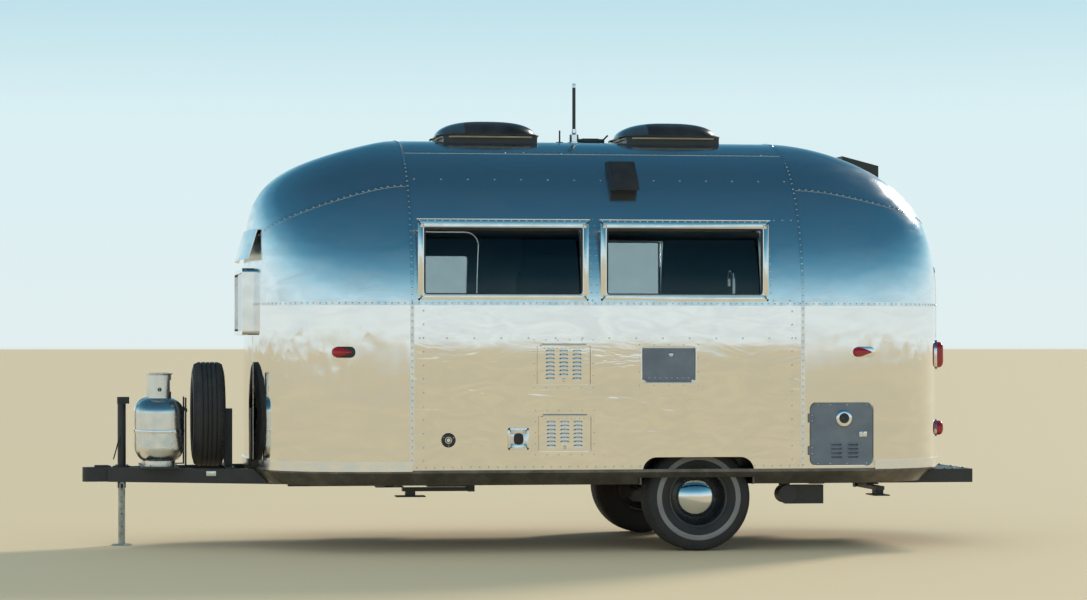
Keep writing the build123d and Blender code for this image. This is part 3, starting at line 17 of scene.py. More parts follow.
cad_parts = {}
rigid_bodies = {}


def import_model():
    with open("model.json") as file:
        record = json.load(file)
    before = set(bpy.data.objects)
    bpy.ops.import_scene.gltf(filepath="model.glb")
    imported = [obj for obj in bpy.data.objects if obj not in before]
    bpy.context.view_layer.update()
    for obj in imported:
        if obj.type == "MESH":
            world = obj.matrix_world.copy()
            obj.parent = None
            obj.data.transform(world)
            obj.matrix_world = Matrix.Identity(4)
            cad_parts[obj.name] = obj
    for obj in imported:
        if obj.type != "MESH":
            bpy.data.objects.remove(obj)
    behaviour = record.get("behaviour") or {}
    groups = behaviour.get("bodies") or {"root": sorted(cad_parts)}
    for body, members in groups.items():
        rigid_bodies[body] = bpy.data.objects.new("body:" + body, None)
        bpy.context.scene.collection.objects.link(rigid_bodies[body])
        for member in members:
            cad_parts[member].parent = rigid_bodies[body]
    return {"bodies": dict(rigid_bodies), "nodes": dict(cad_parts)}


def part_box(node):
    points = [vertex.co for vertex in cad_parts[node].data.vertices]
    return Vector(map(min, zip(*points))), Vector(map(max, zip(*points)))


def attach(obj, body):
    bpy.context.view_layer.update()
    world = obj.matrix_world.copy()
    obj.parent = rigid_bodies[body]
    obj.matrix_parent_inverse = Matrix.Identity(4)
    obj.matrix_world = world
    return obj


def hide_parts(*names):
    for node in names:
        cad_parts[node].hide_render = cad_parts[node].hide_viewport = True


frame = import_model()

LOG = logging.getLogger("caravan")
Colour = tuple[float, float, float]
Place = tuple[Vector, Vector]
Chooser = Callable[[Vector, Vector], bool]
NOISE_LOW, NOISE_HIGH = 0.3, 0.7
TO_STREET, TO_KERB = Vector((0, -1, 0)), Vector((0, 1, 0))
TO_FRONT, TO_REAR = Vector((-1, 0, 0)), Vector((1, 0, 0))
UPWARDS = Vector((0, 0, 1))
MIX_COLOUR_A, MIX_COLOUR_B, MIX_COLOUR_OUT = 6, 7, 2


class Bearing(Enum):
    """The way that a round piece's axis points."""

    ALONG = TO_REAR
    UP = UPWARDS

    def turn(self) -> tuple[float, float, float]:
        """Gives the Euler angles that turn +Z to this bearing."""
        return tuple(self.value.to_track_quat("Z", "Y").to_euler())


class Side(Enum):
    """The two long sides, as the sign of Y."""

    STREET = -1
    KERB = 1


def nodes_named(*starts: str) -> list[str]:
    """Lists the frame's nodes whose names start with any of the given words."""
    return [name for name in frame["nodes"] if name.startswith(starts)]


def standing(point: Sequence[float], way: Sequence[float]) -> Matrix:
    """Gives the matrix that stands a piece at a point, with its own Z along a way."""
    return Matrix.Translation(point) @ Vector(way).to_track_quat("Z", "Y").to_matrix().to_4x4()


def colour_ramp(tree: bpy.types.NodeTree, value: bpy.types.NodeSocket,
                stops: Sequence[tuple[float, Colour]]) -> bpy.types.NodeSocket:
    """Maps a value to colours.

    Args:
        tree: The nodes that it is added to.
        value: The value.
        stops: Each colour with its position.

    Returns:
        The colour.
    """
    node = tree.nodes.new("ShaderNodeValToRGB")
    elements = node.color_ramp.elements
    while len(elements) < len(stops):
        elements.new(0.5)
    for element, (position, colour) in zip(elements, stops):
        element.position = position
        element.color = (*colour, 1)
    tree.links.new(value, node.inputs["Fac"])
    return node.outputs["Color"]


def clear_start_file() -> None:
    """Deletes what the start file holds, so that only the frame is left."""
    kept = set(frame["nodes"].values()) | set(frame["bodies"].values())
    for name in ("Cube", "Light", "Camera"):
        thing = bpy.data.objects.get(name)
        if thing is not None and thing not in kept:
            bpy.data.objects.remove(thing)


class Bench:
    """The work bench: adds primitives and shapes them in edit mode."""

    @staticmethod
    def only(*things: bpy.types.Object) -> None:
        """Selects these objects and nothing else."""
        bpy.ops.object.select_all(action="DESELECT")
        for thing in things:
            thing.select_set(True)
            bpy.context.view_layer.objects.active = thing

    @staticmethod
    def box(name: str, low: Sequence[float], high: Sequence[float], edge: float = 0.0) -> bpy.types.Object:
        """Adds a box between two corners, with its edges rounded.

        Args:
            name: The new object's name.
            low: Its lowest corner.
            high: Its highest corner.
            edge: The radius of its edges.

        Returns:
            The box.
        """
        low, high = Vector(low), Vector(high)
        bpy.ops.object.select_all(action="DESELECT")
        bpy.ops.mesh.primitive_cube_add(size=1, location=(low + high) / 2, scale=high - low)
        made = bpy.context.object
        made.name = name
        Bench.settle(made)
        if edge:
            Bench.modify(made, "BEVEL", width=edge, segments=3, limit_method="ANGLE")
        return made

    @staticmethod
    def drum(name: str, centre: Sequence[float], radius: float, length: float, bearing: Bearing,
             sides: int = 48) -> bpy.types.Object:
        """Adds a round bar about a centre.

        Args:
            name: The new object's name.
            centre: The middle of its axis.
            radius: Its radius.
            length: Its length.
            bearing: The way its axis points.
            sides: How many flats it has.

        Returns:
            The bar.
        """
        bpy.ops.object.select_all(action="DESELECT")
        bpy.ops.mesh.primitive_cylinder_add(vertices=sides, radius=radius, depth=length, location=centre,
                                            rotation=bearing.turn())
        made = bpy.context.object
        made.name = name
        Bench.settle(made)
        return made

    @staticmethod
    def dome(name: str, centre: Sequence[float], radius: float, rise: float, bearing: Vector,
             sides: int = 24) -> bpy.types.Object:
        """Adds a low closed dome whose flat side lies on a surface.

        Args:
            name: The new object's name.
            centre: The middle of its flat side.
            radius: Its radius.
            rise: How high it stands.
            bearing: The way it points.
            sides: How many sides it has.

        Returns:
            The dome.
        """
        bpy.ops.object.select_all(action="DESELECT")
        bpy.ops.mesh.primitive_uv_sphere_add(segments=sides, ring_count=sides // 2, radius=1)
        made = bpy.context.object
        made.name = name
        bpy.ops.object.mode_set(mode="EDIT")
        bpy.ops.mesh.select_all(action="SELECT")
        bpy.ops.mesh.bisect(plane_co=(0, 0, 0), plane_no=(0, 0, 1), use_fill=True, clear_inner=True)
        bpy.ops.object.mode_set(mode="OBJECT")
        made.matrix_world = standing(centre, bearing) @ Matrix.Diagonal((radius, radius, rise, 1))
        Bench.settle(made)
        return made

    @staticmethod
    def plate(name: str, centre: Sequence[float], size: tuple[float, float], corner: float, depth: float,
              facing: Sequence[float], band: float = 0.0, edge: float = 0.0008) -> bpy.types.Object:
        """Adds a flat plate with round corners, or a ring of it.

        Args:
            name: The new object's name.
            centre: Its middle.
            size: Its length and its height.
            corner: The radius of its corners.
            depth: Its thickness, half to each side of the middle.
            facing: The way that it faces.
            band: The ring's width, or 0 for a full plate.
            edge: The radius of its edges.

        Returns:
            The plate.
        """
        bpy.ops.object.select_all(action="DESELECT")
        turn = Vector(facing).to_track_quat("Z", "Y").to_euler()
        bpy.ops.mesh.primitive_plane_add(size=1, location=centre, rotation=turn)
        made = bpy.context.object
        made.name = name
        made.scale = (*size, 1)
        bpy.ops.object.transform_apply(location=False, rotation=False, scale=True)
        bpy.ops.object.mode_set(mode="EDIT")
        bpy.ops.mesh.select_all(action="SELECT")
        bpy.ops.mesh.bevel(offset=corner, segments=6, affect="VERTICES")
        if band:
            bpy.ops.mesh.select_all(action="SELECT")
            bpy.ops.mesh.inset(thickness=band)
            bpy.ops.mesh.delete(type="FACE")
        bpy.ops.object.mode_set(mode="OBJECT")
        Bench.settle(made)
        Bench.modify(made, "SOLIDIFY", thickness=depth, offset=0)
        Bench.modify(made, "BEVEL", width=edge, segments=2, limit_method="ANGLE")
        return made

    @staticmethod
    def pipe(name: str, route: Sequence[Sequence[float]], radius: float) -> bpy.types.Object:
        """Bends a round bar along a route.

        Args:
            name: The new object's name.
            route: The points that the bar is pulled towards.
            radius: The bar's radius.

        Returns:
            The bar as a mesh.
        """
        line = bpy.data.curves.new(name, "CURVE")
        line.dimensions = "3D"
        line.bevel_depth = radius
        line.bevel_resolution = 4
        line.use_fill_caps = True
        spline = line.splines.new("NURBS")
        spline.points.add(len(route) - 1)
        for point, place in zip(spline.points, route):
            point.co = (*place, 1)
        spline.order_u = 3
        spline.resolution_u = 8
        spline.use_endpoint_u = True
        made = bpy.data.objects.new(name, line)
        bpy.context.collection.objects.link(made)
        Bench.only(made)
        bpy.ops.object.convert(target="MESH")
        return bpy.context.object

    @staticmethod
    def ribbon(name: str, line: Sequence[Place], width: float, thick: float) -> bpy.types.Object:
        """Lays a flat strip along a line on a surface.

        Args:
            name: The new object's name.
            line: The line's points with their normals.
            width: The strip's width.
            thick: The strip's thickness.

        Returns:
            The strip.
        """
        bpy.ops.object.select_all(action="DESELECT")
        bpy.ops.mesh.primitive_grid_add(x_subdivisions=max(1, len(line) - 1), y_subdivisions=1, size=1)
        made = bpy.context.object
        made.name = name
        count = len(made.data.vertices) // 2
        for index in range(count):
            at = min(index, len(line) - 1)
            point, normal = line[at]
            before, after = line[max(at - 1, 0)][0], line[min(at + 1, len(line) - 1)][0]
            across = (after - before).normalized().cross(normal) * width / 2
            made.data.vertices[index].co = point + across + normal * thick / 2
            made.data.vertices[index + count].co = point - across + normal * thick / 2
        Bench.modify(made, "SOLIDIFY", thickness=thick, offset=0)
        return made

    @staticmethod
    def settle(thing: bpy.types.Object) -> None:
        """Moves an object's place into its mesh."""
        Bench.only(thing)
        bpy.ops.object.transform_apply(location=True, rotation=True, scale=True)

    @staticmethod
    def modify(thing: bpy.types.Object, kind: str, **settings: object) -> None:
        """Adds a modifier and applies it.

        Args:
            thing: The object to change.
            kind: The modifier's type.
            settings: Its settings.
        """
        Bench.only(thing)
        modifier = thing.modifiers.new(kind.title(), kind)
        for name, value in settings.items():
            setattr(modifier, name, value)
        bpy.ops.object.modifier_apply(modifier=modifier.name)

    @staticmethod
    def shape(thing: bpy.types.Object, chosen: Chooser, operate: Callable[[], object]) -> None:
        """Runs an edit-mode operator on the faces that are chosen by place and normal.

        Args:
            thing: The object to shape.
            chosen: Says whether a face with this centre and normal is taken.
            operate: The operator's call.
        """
        Bench.only(thing)
        bpy.ops.object.mode_set(mode="EDIT")
        bpy.ops.mesh.select_mode(type="FACE")
        bpy.ops.mesh.select_all(action="DESELECT")
        bpy.ops.object.mode_set(mode="OBJECT")
        for face in thing.data.polygons:
            face.select = chosen(face.center, face.normal)
        bpy.ops.object.mode_set(mode="EDIT")
        operate()
        bpy.ops.object.mode_set(mode="OBJECT")

    @staticmethod
    def tidy_faces(thing: bpy.types.Object) -> None:
        """Merges doubled vertices and turns every face outwards."""
        Bench.only(thing)
        bpy.ops.object.mode_set(mode="EDIT")
        bpy.ops.mesh.select_all(action="SELECT")
        bpy.ops.mesh.remove_doubles(threshold=1e-5)
        bpy.ops.mesh.normals_make_consistent(inside=False)
        bpy.ops.object.mode_set(mode="OBJECT")

    @staticmethod
    def join(name: str, things: Sequence[bpy.types.Object]) -> bpy.types.Object:
        """Joins objects into one mesh.

        Args:
            name: The joined object's name.
            things: What is joined.

        Returns:
            The joined object.
        """
        Bench.only(*things)
        bpy.ops.object.join()
        made = bpy.context.object
        made.name = name
        return made

    @staticmethod
    def bare(name: str, points: Sequence[Sequence[float]], edges: Sequence[tuple[int, int]],
             faces: Sequence[tuple[int, ...]]) -> bpy.types.Object:
        """Makes an object of bare points, edges and faces."""
        mesh = bpy.data.meshes.new(name)
        mesh.from_pydata(points, edges, faces)
        made = bpy.data.objects.new(name, mesh)
        bpy.context.collection.objects.link(made)
        return made

    @staticmethod
    def copies(name: str, pattern: bpy.types.Object, frames: Iterable[tuple[Vector, Matrix]]) -> bpy.types.Object:
        """Copies a pattern into many small frames, as one mesh.

        Args:
            name: The new object's name.
            pattern: The piece that repeats, made at the origin. It is deleted.
            frames: Each copy's point and the matrix that turns and scales it.

        Returns:
            The joined copies.
        """
        points, faces = [], []
        rest = [vertex.co.copy() for vertex in pattern.data.vertices]
        loops = [tuple(face.vertices) for face in pattern.data.polygons]
        for point, turn in frames:
            first = len(points)
            points.extend(point + turn @ vertex for vertex in rest)
            faces.extend(tuple(first + corner for corner in loop) for loop in loops)
        bpy.data.objects.remove(pattern)
        return Bench.bare(name, points, [], faces)

    @staticmethod
    def stamp(name: str, pattern: bpy.types.Object, places: Iterable[Place]) -> bpy.types.Object:
        """Copies a small pattern to many places, as one mesh.

        Args:
            name: The new object's name.
            pattern: The piece that repeats, made at the origin and pointing up. It is deleted.
            places: Each copy's point and the way it points.

        Returns:
            The joined copies.
        """
        frames = ((point, way.to_track_quat("Z", "Y").to_matrix()) for point, way in places)
        return Bench.copies(name, pattern, frames)

    @staticmethod
    def lathe(name: str, outline: Sequence[tuple[float, float]], place: Matrix, steps: int = 96) -> bpy.types.Object:
        """Spins an open or closed outline about an axis into a round piece.

        Args:
            name: The new object's name.
            outline: The outline's points as (radius, height along the axis).
            place: Where the axis stands: its own Z is the axis.
            steps: How many steps the turn takes.

        Returns:
            The turned piece.
        """
        count = len(outline)
        made = Bench.bare(name, [(radius, 0, height) for radius, height in outline],
                          [(step, (step + 1) % count) for step in range(count)], [])
        Bench.only(made)
        bpy.ops.object.mode_set(mode="EDIT")
        bpy.ops.mesh.select_all(action="SELECT")
        bpy.ops.mesh.spin(steps=steps, angle=math.tau, center=(0, 0, 0), axis=(0, 0, 1))
        bpy.ops.object.mode_set(mode="OBJECT")
        made.matrix_world = place
        Bench.settle(made)
        Bench.tidy_faces(made)
        return made


class Skin:
    """The outside surface of the body's panels, found by casting rays at it."""

    def __init__(self, names: Sequence[str]) -> None:
        """Reads the panels' meshes.

        Args:
            names: The nodes that make up the surface.
        """
        points, faces = [], []
        for name in names:
            mesh = frame["nodes"][name].data
            first = len(points)
            points.extend(vertex.co.copy() for vertex in mesh.vertices)
            faces.extend([first + corner for corner in face.vertices] for face in mesh.polygons)
        self.tree = BVHTree.FromPolygons(points, faces)

    def hit(self, target: Sequence[float], way: Sequence[float], reach: float = 4.0) -> Place | None:
        """Finds the outermost point of the skin on a line.

        Args:
            target: A point inside the body.
            way: The way that leads from it to the outside.
            reach: How far outside the ray starts.

        Returns:
            The point and its normal, or None where the line meets nothing.
        """
        target, way = Vector(target), Vector(way).normalized()
        point, normal, _, _ = self.tree.ray_cast(target + way * reach, -way)
        if point is None or (point - target).dot(way) < 0.3:
            return None
        return point, normal

    def follow(self, rays: Iterable[tuple[Sequence[float], Sequence[float]]]) -> list[Place]:
        """Finds the outermost points on many lines, and leaves out the lines that meet nothing.

        Args:
            rays: Each line's point inside the body and its way out.

        Returns:
            The points with their normals.
        """
        return [place for place in (self.hit(target, way) for target, way in rays) if place]

    def spaced(self, line: Sequence[Place], step: float) -> list[Place]:
        """Spaces points evenly along a line of close points.

        Args:
            line: Close points with their normals.
            step: The distance between the points that are kept.

        Returns:
            The kept points with their normals.
        """
        kept, run = [line[0]], 0.0
        for before, after in zip(line, line[1:]):
            stretch = (after[0] - before[0]).length
            run += stretch
            if stretch > 3 * step:
                run = step
            if run >= step:
                kept.append(after)
                run -= step
        return kept

    @staticmethod
    def runs(line: Sequence[Place], widest: float = 0.1) -> list[list[Place]]:
        """Splits a line where an opening breaks it.

        Args:
            line: Close points with their normals.
            widest: The longest step that doesn't break it.

        Returns:
            The unbroken runs.
        """
        parts = [[line[0]]]
        for before, after in zip(line, line[1:]):
            if (after[0] - before[0]).length > widest:
                parts.append([])
            parts[-1].append(after)
        return [part for part in parts if len(part) > 2]


class Wires:
    """A small writer of shader nodes for one material."""

    def __init__(self, name: str) -> None:
        """Starts an empty material.

        Args:
            name: The material's name.
        """
        self.material = bpy.data.materials.new(name)
        self.material.use_nodes = True
        self.tree = self.material.node_tree
        self.shader = self.tree.nodes["Principled BSDF"]

    def add(self, kind: str, **settings: object) -> bpy.types.Node:
        """Adds a node.

        Args:
            kind: The node's type.
            settings: Its properties.

        Returns:
            The node.
        """
        node = self.tree.nodes.new(kind)
        for name, value in settings.items():
            setattr(node, name, value)
        return node

    def link(self, source: bpy.types.NodeSocket, target: bpy.types.NodeSocket) -> None:
        """Joins two sockets."""
        self.tree.links.new(source, target)

    def coordinates(self, scale: Sequence[float]) -> bpy.types.NodeSocket:
        """Gives the piece's own coordinates, stretched.

        Args:
            scale: The factor along each axis.

        Returns:
            The stretched coordinates.
        """
        source = self.add("ShaderNodeTexCoord")
        mapping = self.add("ShaderNodeMapping")
        mapping.inputs["Scale"].default_value = scale
        self.link(source.outputs["Object"], mapping.inputs["Vector"])
        return mapping.outputs["Vector"]

    def noise(self, scale: Sequence[float], detail: float = 4.0, distortion: float = 0.0) -> bpy.types.NodeSocket:
        """Adds noise in the piece's own coordinates.

        Args:
            scale: The noise's scale along each axis.
            detail: How many finer layers it has.
            distortion: How far it is warped.

        Returns:
            The noise's value.
        """
        node = self.add("ShaderNodeTexNoise")
        node.inputs["Scale"].default_value = 1.0
        node.inputs["Detail"].default_value = detail
        node.inputs["Distortion"].default_value = distortion
        self.link(self.coordinates(scale), node.inputs["Vector"])
        return node.outputs["Fac"]

    def spread(self, value: bpy.types.NodeSocket, low: float, high: float) -> bpy.types.NodeSocket:
        """Maps the usual range of noise to another range.

        Args:
            value: The noise.
            low: What it becomes at NOISE_LOW.
            high: What it becomes at NOISE_HIGH.

        Returns:
            The mapped value.
        """
        node = self.add("ShaderNodeMapRange")
        node.inputs["From Min"].default_value = NOISE_LOW
        node.inputs["From Max"].default_value = NOISE_HIGH
        node.inputs["To Min"].default_value = low
        node.inputs["To Max"].default_value = high
        self.link(value, node.inputs["Value"])
        return node.outputs["Result"]

    def faded(self, value: bpy.types.NodeSocket, high: float, low: float, least: float,
              hollow: float) -> bpy.types.NodeSocket:
        """Fades a value with height on the piece, and takes a hollow that deepens downwards from it.

        Args:
            value: The value.
            high: The height from which only the least share is left.
            low: The height below which all of it is.
            least: The share that is left.
            hollow: How deep the hollow is at the low height.

        Returns:
            The faded value.
        """
        source = self.add("ShaderNodeTexCoord")
        split = self.add("ShaderNodeSeparateXYZ")
        self.link(source.outputs["Object"], split.inputs["Vector"])
        share = self.add("ShaderNodeMapRange")
        share.inputs["From Min"].default_value = low
        share.inputs["From Max"].default_value = high
        share.inputs["To Min"].default_value = 1.0
        share.inputs["To Max"].default_value = least
        self.link(split.outputs["Z"], share.inputs["Value"])
        product = self.add("ShaderNodeMath", operation="MULTIPLY")
        self.link(value, product.inputs[0])
        self.link(share.outputs["Result"], product.inputs[1])
        square = self.add("ShaderNodeMath", operation="POWER")
        square.inputs[1].default_value = 2.0
        self.link(share.outputs["Result"], square.inputs[0])
        sunk = self.add("ShaderNodeMath", operation="MULTIPLY_ADD")
        sunk.inputs[1].default_value = -hollow
        self.link(square.outputs["Value"], sunk.inputs[0])
        self.link(product.outputs["Value"], sunk.inputs[2])
        return sunk.outputs["Value"]

    def bump(self, height: bpy.types.NodeSocket, depth: float, strength: float = 1.0,
             under: bpy.types.NodeSocket | None = None) -> bpy.types.NodeSocket:
        """Adds a bump to the surface.

        Args:
            height: The bump's height, from 0 to 1.
            depth: The height of 1, in metres.
            strength: The bump's strength.
            under: A bump that lies under this one.

        Returns:
            The bumped normal.
        """
        node = self.add("ShaderNodeBump")
        node.inputs["Distance"].default_value = depth
        node.inputs["Strength"].default_value = strength
        self.link(height, node.inputs["Height"])
        if under is not None:
            self.link(under, node.inputs["Normal"])
        return node.outputs["Normal"]


@dataclass(frozen=True)
class Finish:
    """A plain finish: two colours that wander, a range of roughness and a fine bump."""

    name: str
    slot: str
    colour: Colour
    second: Colour
    metallic: float = 0.0
    roughness: tuple[float, float] = (0.3, 0.45)
    patch: float = 9.0
    grain: float = 160.0
    depth: float = 0.0003
    coat: float = 0.0

    def material(self) -> bpy.types.Material:
        """Builds the material, or finds it if it has been built."""
        found = bpy.data.materials.get(self.name + "_finish")
        return found or self.build(Wires(self.name + "_finish")).material

    def build(self, wires: Wires) -> Wires:
        """Writes the finish's nodes.

        Args:
            wires: The material's writer.

        Returns:
            The same writer.
        """
        patch = wires.noise((self.patch,) * 3, 5.0)
        colour = colour_ramp(wires.tree, patch, ((NOISE_LOW, self.colour), (NOISE_HIGH, self.second)))
        wires.link(colour, wires.shader.inputs["Base Color"])
        wires.link(wires.spread(patch, *self.roughness), wires.shader.inputs["Roughness"])
        wires.shader.inputs["Metallic"].default_value = self.metallic
        wires.shader.inputs["Coat Weight"].default_value = self.coat
        grain = wires.noise((self.grain,) * 3, 3.0)
        wires.link(wires.bump(grain, self.depth), wires.shader.inputs["Normal"])
        return wires


@dataclass(frozen=True)
class RolledSheet(Finish):
    """Polished sheet whose slow waves draw reflections out, with a haze from polishing.

    The waves fade with height as `calm` says: the high and the low height, the share that is left above, and
    the depth of a hollow below.
    """

    waves: tuple[float, float, float] = (1.0, 1.0, 3.0)
    wave_depth: float = 0.004
    swirl: float = 1.2
    haze: tuple[float, float, float] = (3.0, 3.0, 9.0)
    haze_range: tuple[float, float] = (0.32, 0.68)
    calm: tuple[float, float, float, float] = (9.0, 8.0, 1.0, 0.0)

    def build(self, wires: Wires) -> Wires:
        """Writes the sheet's nodes.

        Args:
            wires: The material's writer.

        Returns:
            The same writer.
        """
        haze = wires.noise(self.haze, 6.0, self.swirl)
        colour = colour_ramp(wires.tree, haze, tuple(zip(self.haze_range, (self.colour, self.second))))
        wires.link(colour, wires.shader.inputs["Base Color"])
        wires.link(wires.spread(haze, *self.roughness), wires.shader.inputs["Roughness"])
        wires.shader.inputs["Metallic"].default_value = self.metallic
        wave = wires.noise(self.waves, 2.0, self.swirl)
        slow = wires.bump(wires.faded(wave, *self.calm), self.wave_depth)
        fine = wires.noise((self.grain,) * 3, 3.0)
        wires.link(wires.bump(fine, self.depth, 0.5, slow), wires.shader.inputs["Normal"])
        return wires


@dataclass(frozen=True)
class Glazing(Finish):
    """Tinted glass."""

    clear: float = 0.9

    def build(self, wires: Wires) -> Wires:
        """Writes the glass's nodes.

        Args:
            wires: The material's writer.

        Returns:
            The same writer.
        """
        super().build(wires)
        wires.shader.inputs["Transmission Weight"].default_value = self.clear
        wires.shader.inputs["IOR"].default_value = 1.45
        return wires


# Painted reflection: the lower side sheets' base colour is tinted warm for the golden ground that they mirror.
LOW_SHEET = RolledSheet("mirror_low", "mirror_skin", (0.93, 0.9, 0.86), (0.84, 0.83, 0.82), 1.0, (0.02, 0.06),
                        grain=300, depth=0.00003, waves=(1.5, 1.5, 5.0), wave_depth=0.003, swirl=2.2,
                        calm=(1.46, 0.5, 0.0, 4.8))
# Painted reflection: the upper sheets' base colour is tinted blue for the sky that they mirror.
HIGH_SHEET = RolledSheet("mirror_high", "mirror_skin", (0.9, 0.92, 0.94), (0.78, 0.83, 0.87), 1.0, (0.14, 0.26),
                         grain=300, depth=0.00005, waves=(0.8, 0.8, 0.8), wave_depth=0.005)
# Painted reflection: the end caps' base colour is tinted warm for the golden ground that they mirror.
CAP_SHEET = RolledSheet("mirror_cap", "mirror_skin", (0.93, 0.9, 0.86), (0.85, 0.84, 0.83), 1.0, (0.02, 0.07),
                        grain=300, depth=0.00003, waves=(3.5, 3.5, 0.6), wave_depth=0.0028, swirl=0.8)
LAP = Finish("lap_strip", "mirror_skin", (0.86, 0.87, 0.88), (0.72, 0.74, 0.77), 1.0, (0.1, 0.2))
EXTRUSION = Finish("polished_extrusion", "polished_frame", (0.9, 0.9, 0.9), (0.8, 0.81, 0.82), 1.0, (0.08, 0.2))
RIVET = Finish("rivet_heads", "mirror_skin", (0.9, 0.91, 0.92), (0.74, 0.76, 0.78), 1.0, (0.1, 0.2))
GREY_PAINT = Finish("grey_paint", "grey_door", (0.17, 0.2, 0.24), (0.13, 0.155, 0.19), 0.0, (0.3, 0.45))
BLACK_PAINT = Finish("black_paint", "black_steel", (0.02, 0.02, 0.021), (0.035, 0.034, 0.033), 0.0, (0.3, 0.5))
ZINC = Finish("zinc_plate", "zinc_steel", (0.5, 0.5, 0.48), (0.36, 0.35, 0.33), 1.0, (0.3, 0.5))
TANK = Finish("tank_alloy", "aluminium_tank", (0.86, 0.86, 0.85), (0.74, 0.74, 0.73), 1.0, (0.16, 0.32))
RUBBER = Finish("tyre_rubber", "tyre_rubber", (0.022, 0.022, 0.023), (0.04, 0.038, 0.036), 0.0, (0.65, 0.85))
WHEEL_PAINT = Finish("wheel_paint", "wheel_black", (0.018, 0.018, 0.02), (0.028, 0.028, 0.03), 0.0, (0.2, 0.35),
                     coat=0.4)
GLASS = Glazing("window_glass", "tinted_glass", (0.6, 0.66, 0.67), (0.56, 0.62, 0.64), 0.0, (0.0, 0.02),
                depth=0.00001, clear=1.0)
LENS = Finish("red_lens", "red_lens", (0.4, 0.012, 0.02), (0.3, 0.008, 0.014), 0.0, (0.1, 0.2), coat=0.5)
# Painted shade: the belly pan and wheel wells are near-black metal, standing for the shade under the body.
SHADED_BELLY = Finish("belly_sheet", "belly_sheet", (0.2, 0.195, 0.19), (0.12, 0.115, 0.11), 1.0, (0.2, 0.4))
HOOD = Finish("louvre_hoods", "mirror_skin", (0.93, 0.94, 0.95), (0.8, 0.82, 0.84), 0.6, (0.22, 0.34))
BOARDS = Finish("floor_boards", "floor_board", (0.26, 0.18, 0.11), (0.17, 0.11, 0.07), 0.0, (0.4, 0.6))
BLACK_PLASTIC = Finish("black_plastic", "black_plastic", (0.016, 0.016, 0.018), (0.03, 0.03, 0.032), 0.0,
                       (0.25, 0.42))
CHROME = Finish("bright_chrome", "chrome_bright", (0.86, 0.86, 0.87), (0.78, 0.79, 0.8), 1.0, (0.04, 0.1))
VENEER = Finish("dark_veneer", "cabinet_dark", (0.1, 0.065, 0.04), (0.055, 0.036, 0.024), 0.0, (0.35, 0.5))
BAND = Finish("side_band", "tyre_rubber", (0.2, 0.195, 0.185), (0.27, 0.26, 0.245), 0.0, (0.6, 0.8))
BRASS = Finish("valve_brass", "zinc_steel", (0.62, 0.45, 0.2), (0.48, 0.34, 0.15), 1.0, (0.2, 0.36))
BEIGE = Finish("vent_band", "black_plastic", (0.4, 0.33, 0.2), (0.3, 0.25, 0.16), 0.0, (0.35, 0.5))
SMOKED = Finish("smoked_lid", "black_plastic", (0.05, 0.07, 0.09), (0.035, 0.05, 0.07), 0.0, (0.04, 0.1), coat=0.6)
WORKTOP = Finish("worktop", "cabinet_dark", (0.5, 0.49, 0.46), (0.4, 0.39, 0.37), 0.0, (0.25, 0.4))
SEAL = Finish("rubber_seal", "black_plastic", (0.02, 0.02, 0.02), (0.03, 0.03, 0.03), 0.0, (0.5, 0.7))

NODE_FINISH = {
    LOW_SHEET: ("street_side_lower", "kerb_side_lower", "louvre_door"),
    CAP_SHEET: ("front_wall", "rear_wall"),
    HIGH_SHEET: ("front_dome", "rear_dome", "street_side_upper", "kerb_side_upper", "roof_panel", "entry_door",
                 "front_visor"),
    EXTRUSION: ("window_frames", "rub_trim"),
    GREY_PAINT: ("access_door", "heater_door"),
    BLACK_PAINT: ("main_rails", "tongue_rails", "cross_members", "rear_bumper", "coupler", "gas_tray",
                  "spare_carrier", "axle_beam", "stabiliser", "jack_sleeve", "entry_step", "step_hangers",
                  "roof_hoods"),
    ZINC: ("safety_chain", "jack_leg"),
    TANK: ("gas_bottles", "bottle_collars"),
    RUBBER: ("tyre", "spare_tyre"),
    WHEEL_PAINT: ("wheel_street", "wheel_kerb", "spare_wheel"),
    GLASS: ("window_panes", "entry_door_pane"),
    LENS: ("lamps",),
    SHADED_BELLY: ("belly_pan", "wheel_wells"),
    BOARDS: ("floor",),
    BLACK_PLASTIC: ("vent_", "waste_drain", "side_inlets", "antenna"),
    CHROME: ("galley_tap",),
    VENEER: ("galley_cabinet",),
}


def dress_nodes() -> None:
    """Gives every carried-over node its finish."""
    for finish, starts in NODE_FINISH.items():
        for name in nodes_named(*starts):
            for slot in frame["nodes"][name].material_slots:
                slot.material = finish.material()
        LOG.info("dressed %s", finish.name)


def seat(thing: bpy.types.Object, finish: Finish, body: str = "caravan_body", stands_for: Sequence[str] = (),
         smooth: float = 40.0) -> None:
    """Smooths, paints and fixes a finished piece to its body.

    Args:
        thing: The piece.
        finish: Its finish.
        body: The body that it rides on.
        stands_for: The nodes that it replaces.
        smooth: The edge angle up to which faces are smoothed, in degrees.
    """
    Bench.only(thing)
    bpy.ops.object.shade_smooth_by_angle(angle=math.radians(smooth))
    thing.data.materials.clear()
    thing.data.materials.append(finish.material())
    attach(thing, body)
    if stands_for:
        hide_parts(*stands_for)
    LOG.info("%s: %d faces on %s", thing.name, len(thing.data.polygons), body)


